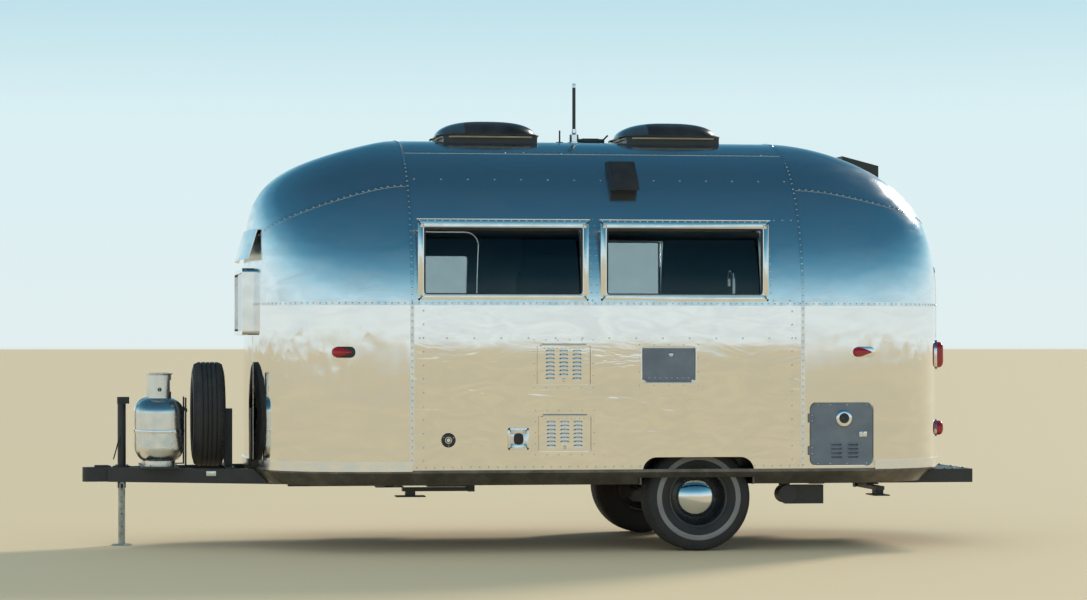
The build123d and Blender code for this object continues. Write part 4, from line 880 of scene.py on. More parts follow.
@dataclass
class SeamWork:
    """The body's lap seams: a narrow strip along each and a row of rivets through it.

    `rows` holds the long sides' level rivet rows as (inset from both hoops, height, pitch), and `window_columns`
    the upright ones beside the windows as (side, range of heights, distances along the body).
    """

    skin: Skin
    belt_z: float
    roof_seam: tuple[float, float]
    ends: tuple[float, float]
    low_z: float
    head: tuple[float, float] = (0.0066, 0.004)
    post_way: tuple[float, float] = (-0.99, 0.405)
    pitch: float = 0.044
    strip: tuple[float, float] = (0.026, 0.0012)
    step: float = 0.012
    cap_seams: tuple[tuple[float, float], ...] = ((2.47, 2.06), (2.46, 2.2))
    rows: tuple[tuple[float, float, float], ...] = ((0.05, 2.243, 0.06), (0.05, 2.515, 0.185), (0.03, 0.578, 0.06),
                                                    (0.05, 1.437, 0.183), (0.09, 1.69, 0.114))
    frame_inset: float = 0.075
    frame_column: tuple[tuple[float, float], float] = ((0.62, 1.62), 0.09)
    window_columns: tuple[tuple[Side, tuple[float, float], tuple[float, ...]], ...] = (
        (Side.STREET, (1.74, 2.2), (0.299, 0.338, 1.53)), (Side.KERB, (1.7, 2.22), (0.12, 1.31)))
    window_pitch: float = 0.05

    def ring(self, z: float, steps: int = 700) -> list[Place]:
        """Follows the skin round the body at one height.

        Args:
            z: The height.
            steps: How many points each quarter takes.

        Returns:
            Close points with their normals.
        """
        front, rear = self.ends
        shares = [step / steps for step in range(steps)]
        angles = [math.pi * step / steps for step in range(steps + 1)]
        rays = [((front + (rear - front) * share, 0, z), TO_STREET) for share in shares]
        rays += [((rear, 0, z), (math.sin(angle), -math.cos(angle), 0)) for angle in angles[:-1]]
        rays += [((rear + (front - rear) * share, 0, z), TO_KERB) for share in shares]
        rays += [((front, 0, z), (-math.sin(angle), math.cos(angle), 0)) for angle in angles]
        return self.skin.follow(rays)

    def hoop(self, x: float, steps: int = 400) -> list[Place]:
        """Follows the skin over the body at one distance along it.

        Args:
            x: The distance.
            steps: How many points each part takes.

        Returns:
            Close points with their normals, from the street side's foot to the kerb side's.
        """
        low, shoulder = self.low_z, self.belt_z
        shares = [step / steps for step in range(steps + 1)]
        angles = [math.pi * step / (2 * steps) for step in range(2 * steps + 1)]
        rays = [((x, 0, low + (shoulder - low) * share), TO_STREET) for share in shares[:-1]]
        rays += [((x, 0, shoulder), (0, -math.cos(angle), math.sin(angle))) for angle in angles]
        rays += [((x, 0, shoulder - (shoulder - low) * share), TO_KERB) for share in shares]
        return self.skin.follow(rays)

    def roof_edge(self, side: Side, steps: int = 500) -> list[Place]:
        """Follows the roof panel's long edge.

        Args:
            side: The side of the body.
            steps: How many points it takes.

        Returns:
            Close points with their normals.
        """
        front, rear = self.ends
        y, z = self.roof_seam
        way = (0, side.value * y, z - self.belt_z)
        return self.skin.follow(((front + (rear - front) * step / steps, 0, self.belt_z), way)
                                for step in range(steps + 1))

    def cap_seam(self, end: int, steps: int = 700) -> list[Place]:
        """Follows the seam that dips round one end dome.

        Args:
            end: 0 at the front and 1 at the rear.
            steps: How many points it takes.

        Returns:
            Close points with their normals.
        """
        x, way = self.ends[end], (-1, 1)[end]
        side_z, end_z = self.cap_seams[end]
        angles = [math.pi * step / steps for step in range(steps + 1)]
        return self.skin.follow(((x, 0, side_z + (end_z - side_z) * math.sin(angle) ** 2),
                                 (way * math.sin(angle), -math.cos(angle), 0)) for angle in angles)

    def post(self, side: Side, steps: int = 400) -> list[Place]:
        """Follows the upright seam near the front corner.

        Args:
            side: The side of the body.
            steps: How many points it takes.

        Returns:
            Close points with their normals.
        """
        x, y = self.post_way
        return self.skin.follow(((self.ends[0], 0, self.low_z + (self.belt_z - self.low_z) * step / steps),
                                 (x, side.value * y, 0)) for step in range(1, steps))

    def row(self, side: Side, x_range: tuple[float, float], z: float, pitch: float) -> list[Place]:
        """Spaces rivets along a level row on one long side.

        Args:
            side: The side of the body.
            x_range: Where the row starts and ends.
            z: Its height.
            pitch: The distance between rivets.

        Returns:
            The rivets' places.
        """
        count = max(1, round((x_range[1] - x_range[0]) / pitch))
        return self.skin.follow(((x_range[0] + (x_range[1] - x_range[0]) * step / count, 0, z), (0, side.value, 0))
                                for step in range(count + 1))

    def column(self, side: Side, x: float, z_range: tuple[float, float], pitch: float) -> list[Place]:
        """Spaces rivets up a column on one long side.

        Args:
            side: The side of the body.
            x: The column's distance along the body.
            z_range: Where it starts and ends.
            pitch: The distance between rivets.

        Returns:
            The rivets' places.
        """
        count = max(1, round((z_range[1] - z_range[0]) / pitch))
        return self.skin.follow(((x, 0, z_range[0] + (z_range[1] - z_range[0]) * step / count), (0, side.value, 0))
                                for step in range(count + 1))

    def side_rows(self) -> list[Place]:
        """Lists the rivets of the long sides' frames and stringers."""
        front, rear = self.ends
        places = []
        for side in Side:
            for inset, z, pitch in self.rows:
                places += self.row(side, (front + inset, rear - inset), z, pitch)
            for x in (front + self.frame_inset, rear - self.frame_inset):
                places += self.column(side, x, *self.frame_column)
        for side, z_range, columns in self.window_columns:
            for x in columns:
                places += self.column(side, x, z_range, self.window_pitch)
        return places

    def build(self) -> None:
        """Lays the strips and sets the rivets."""
        width, thick = self.strip
        front, rear = self.ends
        lines = [self.ring(self.belt_z), self.hoop(front), self.hoop(rear), self.cap_seam(0), self.cap_seam(1)]
        lines += [self.roof_edge(side) for side in Side]
        strips = []
        for line in lines + [self.post(side) for side in Side]:
            for run in self.skin.runs(line):
                strips.append(Bench.ribbon(f"lap_{len(strips)}", self.skin.spaced(run, self.step), width, thick))
        seat(Bench.join("lap_strips", strips), LAP)
        places = self.side_rows()
        for line in lines:
            for run in self.skin.runs(line):
                places += [(point + normal * thick, normal) for point, normal in self.skin.spaced(run, self.pitch)]
        seat(Bench.stamp("seam_rivets", rivet(*self.head), places), RIVET)


def rivet(radius: float, rise: float) -> bpy.types.Object:
    """Makes one rivet head at the origin, pointing up."""
    return Bench.dome("rivet_head", (0, 0, 0), radius, rise, UPWARDS, 8)


def hex_bolt(radius: float, rise: float) -> bpy.types.Object:
    """Makes one bolt head on its washer at the origin, pointing up."""
    washer = Bench.drum("washer", (0, 0, rise * 0.1), radius * 1.35, rise * 0.2, Bearing.UP, 16)
    head = Bench.drum("bolt_head", (0, 0, rise * 0.6), radius, rise * 0.8, Bearing.UP, 6)
    Bench.modify(head, "BEVEL", width=radius * 0.12, segments=1, limit_method="ANGLE")
    return Bench.join("hex_bolt", [washer, head])


@dataclass(frozen=True)
class SideWindow:
    """The trim of one flat side window: seal, bright frames, drip cap and rivets.

    `frames` holds each frame as (how much larger than the glass it is, its width, its depth, its edges' radius).
    """

    name: str
    side: Side
    x: float
    length: float = 1.065
    z: tuple[float, float] = (1.729, 2.173)
    flange: float = 0.052
    wall_y: float = 1.07
    proud: float = 0.009
    seal: float = 0.011
    frames: tuple[tuple[float, float, float, float], ...] = ((0.086, 0.04, 0.009, 0.004),
                                                             (0.02, 0.008, 0.01, 0.003))
    pitch: float = 0.052

    def build(self) -> None:
        """Makes the window's trim."""
        hand = self.side.value
        height, middle = self.z[1] - self.z[0], sum(self.z) / 2
        facing = (0, hand, 0)
        face_y = hand * (self.wall_y + self.proud)
        seal = Bench.plate(self.name + "_seal", (self.x, hand * (self.wall_y - 0.003), middle),
                           (self.length + 0.004, height + 0.004), 0.02, 0.012, facing, self.seal)
        seat(seal, SEAL)
        beads = []
        for number, (grow, wide, depth, round_edge) in enumerate(self.frames):
            beads.append(Bench.plate(f"{self.name}_bead_{number}", (self.x, face_y - hand * 0.0036, middle),
                                     (self.length + grow, height + grow), 0.014, depth, facing, wide, round_edge))
        cap_z = self.z[1] + self.flange + 0.006
        half = self.length / 2 + self.flange
        y_range = sorted((hand * self.wall_y, hand * (self.wall_y + 0.0115)))
        beads.append(Bench.box(self.name + "_drip_cap", (self.x - half, y_range[0], cap_z - 0.005),
                               (self.x + half, y_range[1], cap_z + 0.004), 0.002))
        seat(Bench.join(self.name + "_beads", beads), EXTRUSION)
        half_run = half - 0.02
        count = round(2 * half_run / self.pitch)
        places = [(Vector((self.x - half_run + 2 * half_run * step / count, face_y, cap_z - 0.0105)), Vector(facing))
                  for step in range(count + 1)]
        seat(Bench.stamp(self.name + "_rivets", rivet(0.005, 0.003), places), RIVET)


@dataclass(frozen=True)
class Latch:
    """A round keyed latch in its bright rosette."""

    name: str
    centre: tuple[float, float, float]
    facing: Vector
    body: str
    radius: float = 0.0115

    def build(self) -> None:
        """Makes the latch."""
        place = standing(self.centre, self.facing)
        r = self.radius
        rosette = Bench.lathe(self.name + "_rosette", ((0.35 * r, 0.002), (0.4 * r, 0.0045), (0.75 * r, 0.0045),
                                                       (r, 0.0015), (r, -0.001), (0.35 * r, -0.001)), place, 32)
        barrel = Bench.lathe(self.name + "_barrel", ((0, 0.004), (0.26 * r, 0.004), (0.34 * r, 0.003), (0.34 * r, 0),
                                                     (0, 0)), place, 24)
        seat(Bench.join(self.name, [rosette, barrel]), CHROME, self.body)


@dataclass(frozen=True)
class SmallDoors:
    """The latches, hinge rivets, louvre hoods and surrounds of the doors in the street side.

    `hood_sets` holds each louvred door's hoods as (body, name, the columns' distances along the body, the top
    row's height, rows).
    """

    skin_y: float = -1.07
    louvre: tuple[float, float, float] = (0.068, 0.0145, 0.0095)
    louvre_pitch: float = 0.0265
    hood_sets: tuple[tuple[str, str, tuple[float, float, float], float, int], ...] = (
        ("upper_louvre_leaf", "upper_hoods", (0.018, 0.109, 0.2), 1.349, 8),
        ("lower_louvre_leaf", "lower_hoods", (0.025, 0.116, 0.207), 0.874, 7))

    def hinge_row(self, node: str, z: float, count: int, body: str) -> None:
        """Sets a row of rivets through a hinge strap.

        Args:
            node: The door's node.
            z: The row's height.
            count: How many rivets there are.
            body: The body that they ride on.
        """
        low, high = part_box(node)
        left, right = low.x + 0.045, high.x - 0.045
        y = self.skin_y - 0.0033
        places = [(Vector((left + (right - left) * step / (count - 1), y, z)), TO_STREET)
                  for step in range(count)]
        seat(Bench.stamp(node + "_hinge_rivets", rivet(0.0042, 0.002), places), RIVET, body)

    def hoods(self) -> None:
        """Lays a thin bright hood over each louvre of the two louvred doors."""
        for body, name, columns, top_z, rows in self.hood_sets:
            places = [(Vector((x, self.skin_y, top_z - self.louvre_pitch * row)), TO_STREET)
                      for number, x in enumerate(columns) for row in range(rows - number % 2)]
            seat(Bench.stamp(name, self.hood(), places), HOOD, body)

    def hood(self) -> bpy.types.Object:
        """Makes one louvre hood at the origin: its back on the skin, its open edge down."""
        made = Bench.dome("hood", (0, 0, 0), 1.0, 1.0, UPWARDS, 16)
        width, rise, proud = self.louvre
        Bench.shape(made, lambda centre, normal: True, lambda: bpy.ops.mesh.bisect(
            plane_co=(0, 0, 0), plane_no=(0, 1, 0), use_fill=True, clear_inner=True))
        made.scale = (width / 2, rise, proud)
        Bench.settle(made)
        return made

    def surround(self, node: str, grow: float, pitch: float) -> list[Place]:
        """Lists rivets round a door's opening.

        Args:
            node: The door's node.
            grow: How far outside the leaf they stand.
            pitch: The distance between them.

        Returns:
            The rivets' places.
        """
        low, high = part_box(node)
        x0, x1, z0, z1 = low.x - grow, high.x + grow, low.z - grow, high.z + grow
        wide, tall = round((x1 - x0) / pitch), round((z1 - z0) / pitch)
        points = [(x0 + (x1 - x0) * step / wide, z) for step in range(wide + 1) for z in (z0, z1)]
        points += [(x, z0 + (z1 - z0) * step / tall) for step in range(1, tall) for x in (x0, x1)]
        return [(Vector((x, self.skin_y, z)), TO_STREET) for x, z in points]

    def build(self) -> None:
        """Makes the doors' hardware."""
        places = []
        for node, body in (("louvre_door_upper", "upper_louvre_leaf"), ("louvre_door_lower", "lower_louvre_leaf")):
            low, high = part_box(node)
            self.hinge_row(node, high.z - 0.031, 10, body)
            Latch(node + "_latch", ((low.x + high.x) / 2, self.skin_y, low.z + 0.026), TO_STREET, body).build()
            places += self.surround(node, 0.024, 0.075)
        self.hoods()
        low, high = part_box("access_door")
        self.hinge_row("access_door", low.z + 0.031, 8, "access_leaf")
        Latch("access_door_latch", (low.x + 0.193, self.skin_y, high.z - 0.042), TO_STREET, "access_leaf",
              0.015).build()
        places += self.surround("access_door", 0.022, 0.09)
        seat(Bench.stamp("small_door_rivets", rivet(0.0045, 0.002), places), RIVET)
        middle = ((low.x + high.x) / 2, self.skin_y - 0.0006, (low.z + high.z) / 2)
        bead = Bench.plate("access_door_rim", middle, (high.x - low.x + 0.022, high.z - low.z + 0.02), 0.016, 0.0025,
                           TO_STREET, 0.008)
        seat(bead, EXTRUSION)


@dataclass(frozen=True)
class SideFittings:
    """The round inlet's and the square hatch's rims, faces and screws."""

    inlet: tuple[float, float] = (-0.668, 0.76)
    inlet_radius: float = 0.045
    hatch_x: tuple[float, float] = (-0.266, -0.129)
    hatch_z: tuple[float, float] = (0.696, 0.838)
    wall_y: float = -1.07
    proud: float = 0.008

    def build(self) -> None:
        """Makes the rims."""
        x, z = self.inlet
        way, face = TO_STREET, self.wall_y - self.proud
        place = standing((x, face, z), way)
        r = self.inlet_radius
        rim = Bench.lathe("inlet_rim", ((0.6 * r, -0.003), (0.62 * r, 0.002), (0.9 * r, 0.003), (1.06 * r, -0.001),
                                        (1.08 * r, -self.proud), (0.98 * r, -self.proud), (0.95 * r, -0.002)),
                          place, 48)
        seat(rim, BLACK_PLASTIC)
        core = Bench.lathe("inlet_core", ((0.0, 0.0), (0.012, 0.0), (0.014, -0.002), (0.014, -0.006), (0.0, -0.006)),
                           place, 24)
        ring = Bench.lathe("inlet_ring", ((0.019, -0.005), (0.019, -0.001), (0.023, -0.001), (0.024, -0.005)),
                           place, 32)
        seat(Bench.join("inlet_centre", [core, ring]), CHROME)
        middle = (sum(self.hatch_x) / 2, face, sum(self.hatch_z) / 2)
        size = (self.hatch_x[1] - self.hatch_x[0], self.hatch_z[1] - self.hatch_z[0])
        face_plate = Bench.plate("hatch_face", middle, (size[0] + 0.004, size[1] + 0.004), 0.012, 0.004, way, 0.042)
        seat(face_plate, LAP)
        eye_rim = Bench.plate("hatch_eye_rim", (middle[0], middle[1] - 0.0015, middle[2]), (0.066, 0.078), 0.03,
                              0.004, way, 0.01)
        seat(eye_rim, BLACK_PLASTIC)
        screws = [(Vector((middle[0] + a * (size[0] / 2 - 0.012), face, middle[2] + b * (size[1] / 2 - 0.012))), way)
                  for a in (-1, 1) for b in (-1, 1)]
        screws += [(Vector((x + 0.037 * math.cos(turn), face - 0.0022, z + 0.037 * math.sin(turn))), way)
                   for turn in (0.5, 2.6, 4.7)]
        seat(Bench.stamp("fitting_screws", rivet(0.0038, 0.002), screws), CHROME)


@dataclass(frozen=True)
class HeaterDoor:
    """The water heater door's flue ring, twist latch, hinge rivets and rim screws."""

    flue: tuple[float, float] = (2.036, 0.898)
    latch: tuple[float, float] = (2.175, 0.79)
    strap_y: float = -1.0736
    strap_z: tuple[float, ...] = (0.66, 0.7, 0.88, 0.92)
    rim_x: tuple[float, ...] = (1.94, 2.06, 2.2)
    rim_inset: float = 0.014
    body: str = "heater_leaf"

    def build(self) -> None:
        """Makes the door's hardware."""
        leaf = Skin(["heater_door"])
        at, _ = leaf.hit((self.flue[0] - 0.045, 0, self.flue[1]), TO_STREET)
        place = standing((self.flue[0], at.y, self.flue[1]), TO_STREET)
        flange = Bench.lathe("flue_flange", ((0.033, 0.001), (0.035, 0.004), (0.05, 0.0035), (0.0545, 0.001),
                                             (0.0545, -0.002), (0.033, -0.002)), place, 48)
        seat(flange, CHROME, self.body)
        mouth = Bench.lathe("flue_mouth", ((0.012, -0.004), (0.012, 0.002), (0.017, 0.002), (0.031, -0.001),
                                           (0.031, -0.0045)), place, 40)
        seat(mouth, BLACK_PAINT, self.body)
        point, normal = leaf.hit((self.latch[0], 0, self.latch[1]), TO_STREET)
        plate = Bench.plate("heater_latch_plate", point + normal * 0.0015, (0.056, 0.036), 0.006, 0.003, normal)
        knob = Bench.plate("heater_latch_knob", point + normal * 0.008, (0.012, 0.03), 0.005, 0.01, normal,
                           edge=0.002)
        seat(Bench.join("heater_latch", [plate, knob]), CHROME, self.body)
        places = []
        low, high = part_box("heater_door")
        for z in self.strap_z:
            places.append((Vector((low.x + 0.028, self.strap_y, z)), TO_STREET))
        places += leaf.follow(((x, 0, z), TO_STREET) for x in (low.x + 0.07, *self.rim_x)
                              for z in (low.z + self.rim_inset, high.z - self.rim_inset))
        seat(Bench.stamp("heater_door_rivets", rivet(0.0045, 0.002), places), RIVET, self.body)


@dataclass(frozen=True)
class LampTrim:
    """Bright rims round the tail lamps, and shoes under the side markers.

    `tail` and `low` hold a lamp's distance from the middle, its height, its half width and, for the taller lamp,
    its half height.
    """

    skin: Skin
    tail: tuple[float, float, float, float] = (0.56, 1.325, 0.05, 0.09)
    low: tuple[float, float, float] = (0.56, 0.815, 0.05)
    markers: tuple[float, float] = (-1.36, 2.185)
    marker_z: float = 1.345
    rear_x: float = 1.75

    def build(self) -> None:
        """Makes the rims and shoes."""
        rims = []
        for hand in (-1, 1):
            y, z, half, rise = self.tail
            point, normal = self.skin.hit((self.rear_x, hand * y, z), TO_REAR)
            rims.append(Bench.plate(f"tail_rim_{hand}", point + normal * 0.004, (2 * half + 0.028, 2 * rise + 0.028),
                                    half + 0.0138, 0.014, normal, 0.013, 0.004))
            y, z, half = self.low
            point, normal = self.skin.hit((self.rear_x, hand * y, z), TO_REAR)
            rims.append(Bench.plate(f"low_rim_{hand}", point + normal * 0.003, (2 * half + 0.02, 2 * half + 0.02),
                                    half + 0.0098, 0.01, normal, 0.009, 0.003))
        seat(Bench.join("tail_lamp_rims", rims), CHROME)
        for x, name, finish in zip(self.markers, ("front_marker_shoes", "rear_marker_shoes"),
                                   (BLACK_PLASTIC, CHROME)):
            shoes = []
            for side in Side:
                point, normal = self.skin.hit((x, 0, self.marker_z), (0, side.value, 0))
                shoes.append(Bench.plate(f"marker_shoe_{side.name}", point + normal * 0.001, (0.15, 0.074), 0.034,
                                         0.004, normal, edge=0.001))
            seat(Bench.join(name, shoes), finish)


@dataclass(frozen=True)
class Tyre:
    """A road tyre with grooves, shoulder lugs and a grey band on its side.

    `lug_place` holds where the lugs stand, as shares of the radius and of the half width.
    """

    radius: float = 0.362
    half_width: float = 0.111
    bead: float = 0.196
    groove: float = 0.008
    lugs: int = 72
    lug_place: tuple[float, float] = (0.967, 0.79)
    lug_lean: float = 0.55
    lug_squeeze: float = 0.62
    band: tuple[float, float] = (0.254, 0.29)

    def section(self) -> list[tuple[float, float]]:
        """Gives the tyre's closed section as (radius, height along the axle)."""
        r, w, deep = self.radius, self.half_width, self.groove
        side = [(self.bead, 0.76 * w), (self.bead + 0.006, 0.86 * w), (self.bead + 0.02, 0.94 * w),
                (0.65 * r, 0.985 * w), (0.74 * r, w), (0.83 * r, 0.985 * w), (0.9 * r, 0.93 * w),
                (0.945 * r, 0.85 * w), (0.975 * r, 0.755 * w), (0.992 * r, 0.67 * w), (r, 0.6 * w),
                (r, 0.47 * w), (r - deep, 0.455 * w), (r - deep, 0.4 * w), (r, 0.385 * w),
                (r, 0.17 * w), (r - deep, 0.155 * w), (r - deep, 0.1 * w), (r, 0.085 * w)]
        return side + [(away, -height) for away, height in reversed(side)]

    def build(self, name: str, centre: Vector, way: Vector, body: str, node: str) -> None:
        """Makes one tyre.

        Args:
            name: The piece's name.
            centre: The middle of the tyre.
            way: The way that its outer side faces.
            body: The body that it rides on.
            node: The CAD node that it stands for.
        """
        place = standing(centre, way)
        casing = Bench.lathe(name + "_casing", self.section(), place, 120)
        turn = place.to_3x3()
        lug = Bench.box("lug", (-0.012, -0.0105, -0.012), (0.012, 0.0105, 0.002))
        Bench.modify(lug, "BEVEL", width=0.0015, segments=1, limit_method="ANGLE")
        across = turn @ UPWARDS
        frames = []
        height, aside = self.lug_place
        for number in range(2 * self.lugs):
            hand = 1 if number % 2 else -1
            angle = math.pi * (number + 0.5) / self.lugs
            out = turn @ Vector((math.cos(angle), math.sin(angle), 0))
            round_way = across.cross(out)
            middle = centre + out * (height * self.radius) + across * (hand * aside * self.half_width)
            lean = (out + across * (hand * self.lug_lean)).normalized()
            level = round_way.cross(lean)
            frames.append((middle, Matrix((level, round_way * self.lug_squeeze, lean)).transposed()))
        lugs = Bench.copies(name + "_lugs", lug, frames)
        Bench.tidy_faces(lugs)
        seat(Bench.join(name, [casing, lugs]), RUBBER, body, (node,), 32)
        w = self.half_width
        inner, outer = self.band
        outline = ((inner, 0.99 * w), (inner + 0.003, 1.004 * w), (outer - 0.004, 1.002 * w),
                   (outer, 0.985 * w), (outer - 0.006, 0.96 * w), (inner + 0.006, 0.97 * w))
        band = Bench.lathe(name + "_side_band", outline, place, 120)
        seat(band, BAND, body)


@dataclass(frozen=True)
class RoadWheel:
    """The parts that dress a road wheel: tyre, chrome cap, rim lip and valve."""

    side: Side
    body: str
    node: str
    centre: tuple[float, float, float] = (1.055, 0.866, 0.362)
    cap_radius: float = 0.134
    cap_seat: float = 0.03
    cap_rise: float = 0.052
    edge: float = 0.008
    skin: float = 0.0009

    def cap_outline(self) -> list[tuple[float, float]]:
        """Gives the hub cap's closed outline as (radius, height)."""
        rise = self.cap_rise - self.edge
        ball = (rise ** 2 + self.cap_radius ** 2) / (2 * rise)
        top = self.cap_seat + self.cap_rise
        outer, inner = [], []
        for step in range(13):
            away = self.cap_radius * step / 12
            height = top - (ball - math.sqrt(ball ** 2 - away ** 2))
            outer.append((away, height + self.skin))
            inner.append((away, height + 0.0001))
        lip = self.cap_radius + self.skin
        rim = [(lip, self.cap_seat + self.edge), (lip + 0.003, self.cap_seat + 0.004), (lip + 0.003, self.cap_seat)]
        return outer + rim + [(self.cap_radius + 0.0001, self.cap_seat)] + list(reversed(inner))

    def build(self) -> None:
        """Makes the wheel's pieces."""
        hand = self.side.value
        centre = Vector((self.centre[0], hand * self.centre[1], self.centre[2]))
        way = Vector((0, hand, 0))
        place = standing(centre, way)
        Tyre().build("road_" + self.node, centre, way, self.body, self.node)
        seat(Bench.lathe(self.node + "_hub_cap", self.cap_outline(), place, 96), CHROME, self.body)
        lip = Bench.lathe(self.node + "_rim_lip", ((0.188, 0.08), (0.188, 0.088), (0.193, 0.0915), (0.199, 0.091),
                                                   (0.2, 0.088), (0.195, 0.084)), place, 96)
        seat(lip, WHEEL_PAINT, self.body)
        root = place @ Vector((0.165, 0, 0.03))
        tip = place @ Vector((0.172, 0, 0.062))
        seat(Bench.pipe(self.node + "_valve", (root, (root + tip) / 2, tip), 0.004), SEAL, self.body)


@dataclass(frozen=True)
class GasRack:
    """The gas bottles' weld bands and valve gear, their rack and its wing nut."""

    x: float = -2.555
    y: float = 0.183
    tray_z: float = 0.557
    tank_radius: float = 0.168
    weld_z: float = 0.8
    rod_top: float = 1.12
    outlet_z: float = 1.075
    bar_half: float = 0.017

    def build(self) -> None:
        """Makes the pieces on and round the bottles."""
        bands, rings = [], []
        for hand in (-1, 1):
            place = Matrix.Translation((self.x, hand * self.y, 0))
            r, z = self.tank_radius, self.weld_z
            weld = ((r + 0.0051, z - 0.0112), (r + 0.0058, z - 0.008), (r + 0.0058, z + 0.008),
                    (r + 0.0051, z + 0.0112), (r - 0.002, z))
            foot = ((0.1102, 0.557), (0.114, 0.559), (0.114, 0.567), (0.1102, 0.569))
            bands.append(Bench.lathe(f"weld_{hand}", weld, place, 72))
            rings.append(Bench.lathe(f"foot_bead_{hand}", foot, place, 60))
        seat(Bench.join("bottle_weld_bands", bands), CHROME)
        seat(Bench.join("bottle_foot_beads", rings), TANK)
        bars, wide = [], self.bar_half
        for hand in (-1, 1):
            y, back = hand * self.y, self.x + self.tank_radius + 0.008
            for name, front, top in (("bar", back, 1.03), ("foot", -2.438, 0.564)):
                bars.append(Bench.box(f"rack_{name}_{hand}", (front, y - wide, self.tray_z),
                                      (back + 0.011, y + wide, top), 0.002))
        bars.append(Bench.box("rack_tie", (back + 0.0105, -self.y - wide, 0.93),
                              (back + 0.0165, self.y + wide, 0.955), 0.002))
        seat(Bench.join("bottle_rack", bars), BLACK_PAINT)
        nut = Bench.drum("hold_down_nut", (self.x, 0, self.rod_top - 0.03), 0.017, 0.02, Bearing.UP, 6)
        wings = Bench.plate("hold_down_wings", (self.x, 0, self.rod_top - 0.02), (0.075, 0.03), 0.012, 0.006,
                            TO_REAR, edge=0.002)
        seat(Bench.join("hold_down_wing_nut", [nut, wings]), ZINC)
        gear = []
        for hand in (-1, 1):
            gear.append(Bench.drum(f"valve_outlet_{hand}", (self.x + 0.03, hand * self.y, self.outlet_z), 0.01,
                                   0.04, Bearing.ALONG, 16))
            gear.append(Bench.drum(f"valve_nut_{hand}", (self.x + 0.045, hand * self.y, self.outlet_z), 0.014,
                                   0.014, Bearing.ALONG, 6))
        seat(Bench.join("valve_outlets", gear), BRASS)


@dataclass(frozen=True)
class TongueGear:
    """The tongue's bolts, blank plate, coupler latch and jack strut."""

    jack_x: float = -2.81
    top_z: float = 0.545
    flange_radius: float = 0.046
    flange_turns: tuple[float, ...] = (0.6, 2.5, 3.8, 5.6)
    tray_x: tuple[float, ...] = (-2.66, -2.45)
    tray_y: float = 0.3
    tray_z: float = 0.557
    rail_way: tuple[float, float, float] = (-0.351, -0.936, 0.0)

    def build(self) -> None:
        """Makes the pieces."""
        _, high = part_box("coupler")
        lever = Bench.box("coupler_lever", (high.x - 0.15, -0.009, high.z - 0.006),
                          (high.x - 0.05, 0.009, high.z + 0.014), 0.004)
        hood = Bench.box("coupler_latch_block", (high.x - 0.075, -0.02, high.z - 0.01),
                         (high.x - 0.035, 0.02, high.z + 0.01), 0.004)
        seat(Bench.join("coupler_latch", [lever, hood]), BLACK_PAINT)
        away, z = self.flange_radius, self.top_z + 0.008
        bolts = [(Vector((self.jack_x + away * math.cos(turn), away * math.sin(turn), z)), UPWARDS)
                 for turn in self.flange_turns]
        for hand in (-1, 1):
            for x in self.tray_x:
                bolts.append((Vector((x, hand * self.tray_y, self.tray_z)), UPWARDS))
        seat(Bench.stamp("tongue_bolts", hex_bolt(0.009, 0.008), bolts), ZINC)
        plate = Bench.plate("blank_plate", (-2.205, -0.3375, 0.512), (0.07, 0.034), 0.004, 0.002,
                            self.rail_way)
        seat(plate, TANK)
        strut = Bench.pipe("jack_strut", ((-2.868, -0.05, 0.6), (-2.85, -0.047, 0.66), (-2.828, -0.034, 0.75)),
                           0.0045)
        seat(strut, BLACK_PAINT)


@dataclass(frozen=True)
class SpareMount:
    """The spare wheel's road tyre and the clamp that holds it on its carrier."""

    clamp_in: float = 0.07

    def build(self) -> None:
        """Makes the spare tyre and its clamp."""
        low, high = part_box("spare_tyre")
        centre = (low + high) / 2
        Tyre(lugs=60).build("spare_road_tyre", centre, TO_FRONT, "caravan_body", "spare_tyre")
        wheel_low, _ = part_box("spare_wheel")
        place = standing((wheel_low.x + self.clamp_in, 0, centre.z), TO_FRONT)
        clamp = Bench.lathe("spare_clamp", ((0, 0.01), (0.03, 0.01), (0.075, 0.0), (0.08, -0.004), (0.03, -0.012),
                                            (0, -0.012)), place, 40)
        seat(clamp, BLACK_PAINT)


@dataclass(frozen=True)
class RoofVent:
    """One roof vent's seal band, lid rim and smoked front."""

    name: str
    x: float
    lid: str
    body: str
    half: tuple[float, float] = (0.355, 0.3)
    lid_z: float = 2.852

    def build(self) -> None:
        """Makes the vent's trim."""
        band = Bench.plate(self.name + "_band", (self.x, 0, self.lid_z - 0.009), (2 * self.half[0] - 0.012,
                           2 * self.half[1] - 0.012), 0.12, 0.013, UPWARDS, 0.045, 0.003)
        seat(band, BEIGE)
        rim = Bench.plate(self.name + "_lid_rim", (self.x, 0, self.lid_z + 0.006), (2 * self.half[0] + 0.002,
                          2 * self.half[1] + 0.002), 0.125, 0.01, UPWARDS, 0.02, 0.003)
        seat(rim, BLACK_PLASTIC, self.body)
        node = frame["nodes"][self.lid]
        Bench.only(node)
        bpy.ops.object.duplicate()
        front = bpy.context.object
        front.name = self.name + "_smoked_end"
        front.parent = None
        front.data = front.data.copy()
        Bench.tidy_faces(front)
        bpy.ops.object.mode_set(mode="EDIT")
        bpy.ops.mesh.select_all(action="SELECT")
        bpy.ops.mesh.bisect(plane_co=(self.x - 0.5 * self.half[0], 0, 0), plane_no=(1, 0, 0), clear_outer=True)
        bpy.ops.mesh.select_all(action="SELECT")
        bpy.ops.mesh.bisect(plane_co=(0, 0, self.lid_z + 0.012), plane_no=(0, 0, 1), clear_inner=True)
        bpy.ops.object.mode_set(mode="OBJECT")
        Bench.modify(front, "SOLIDIFY", thickness=0.0012, offset=1)
        seat(front, SMOKED, self.body)


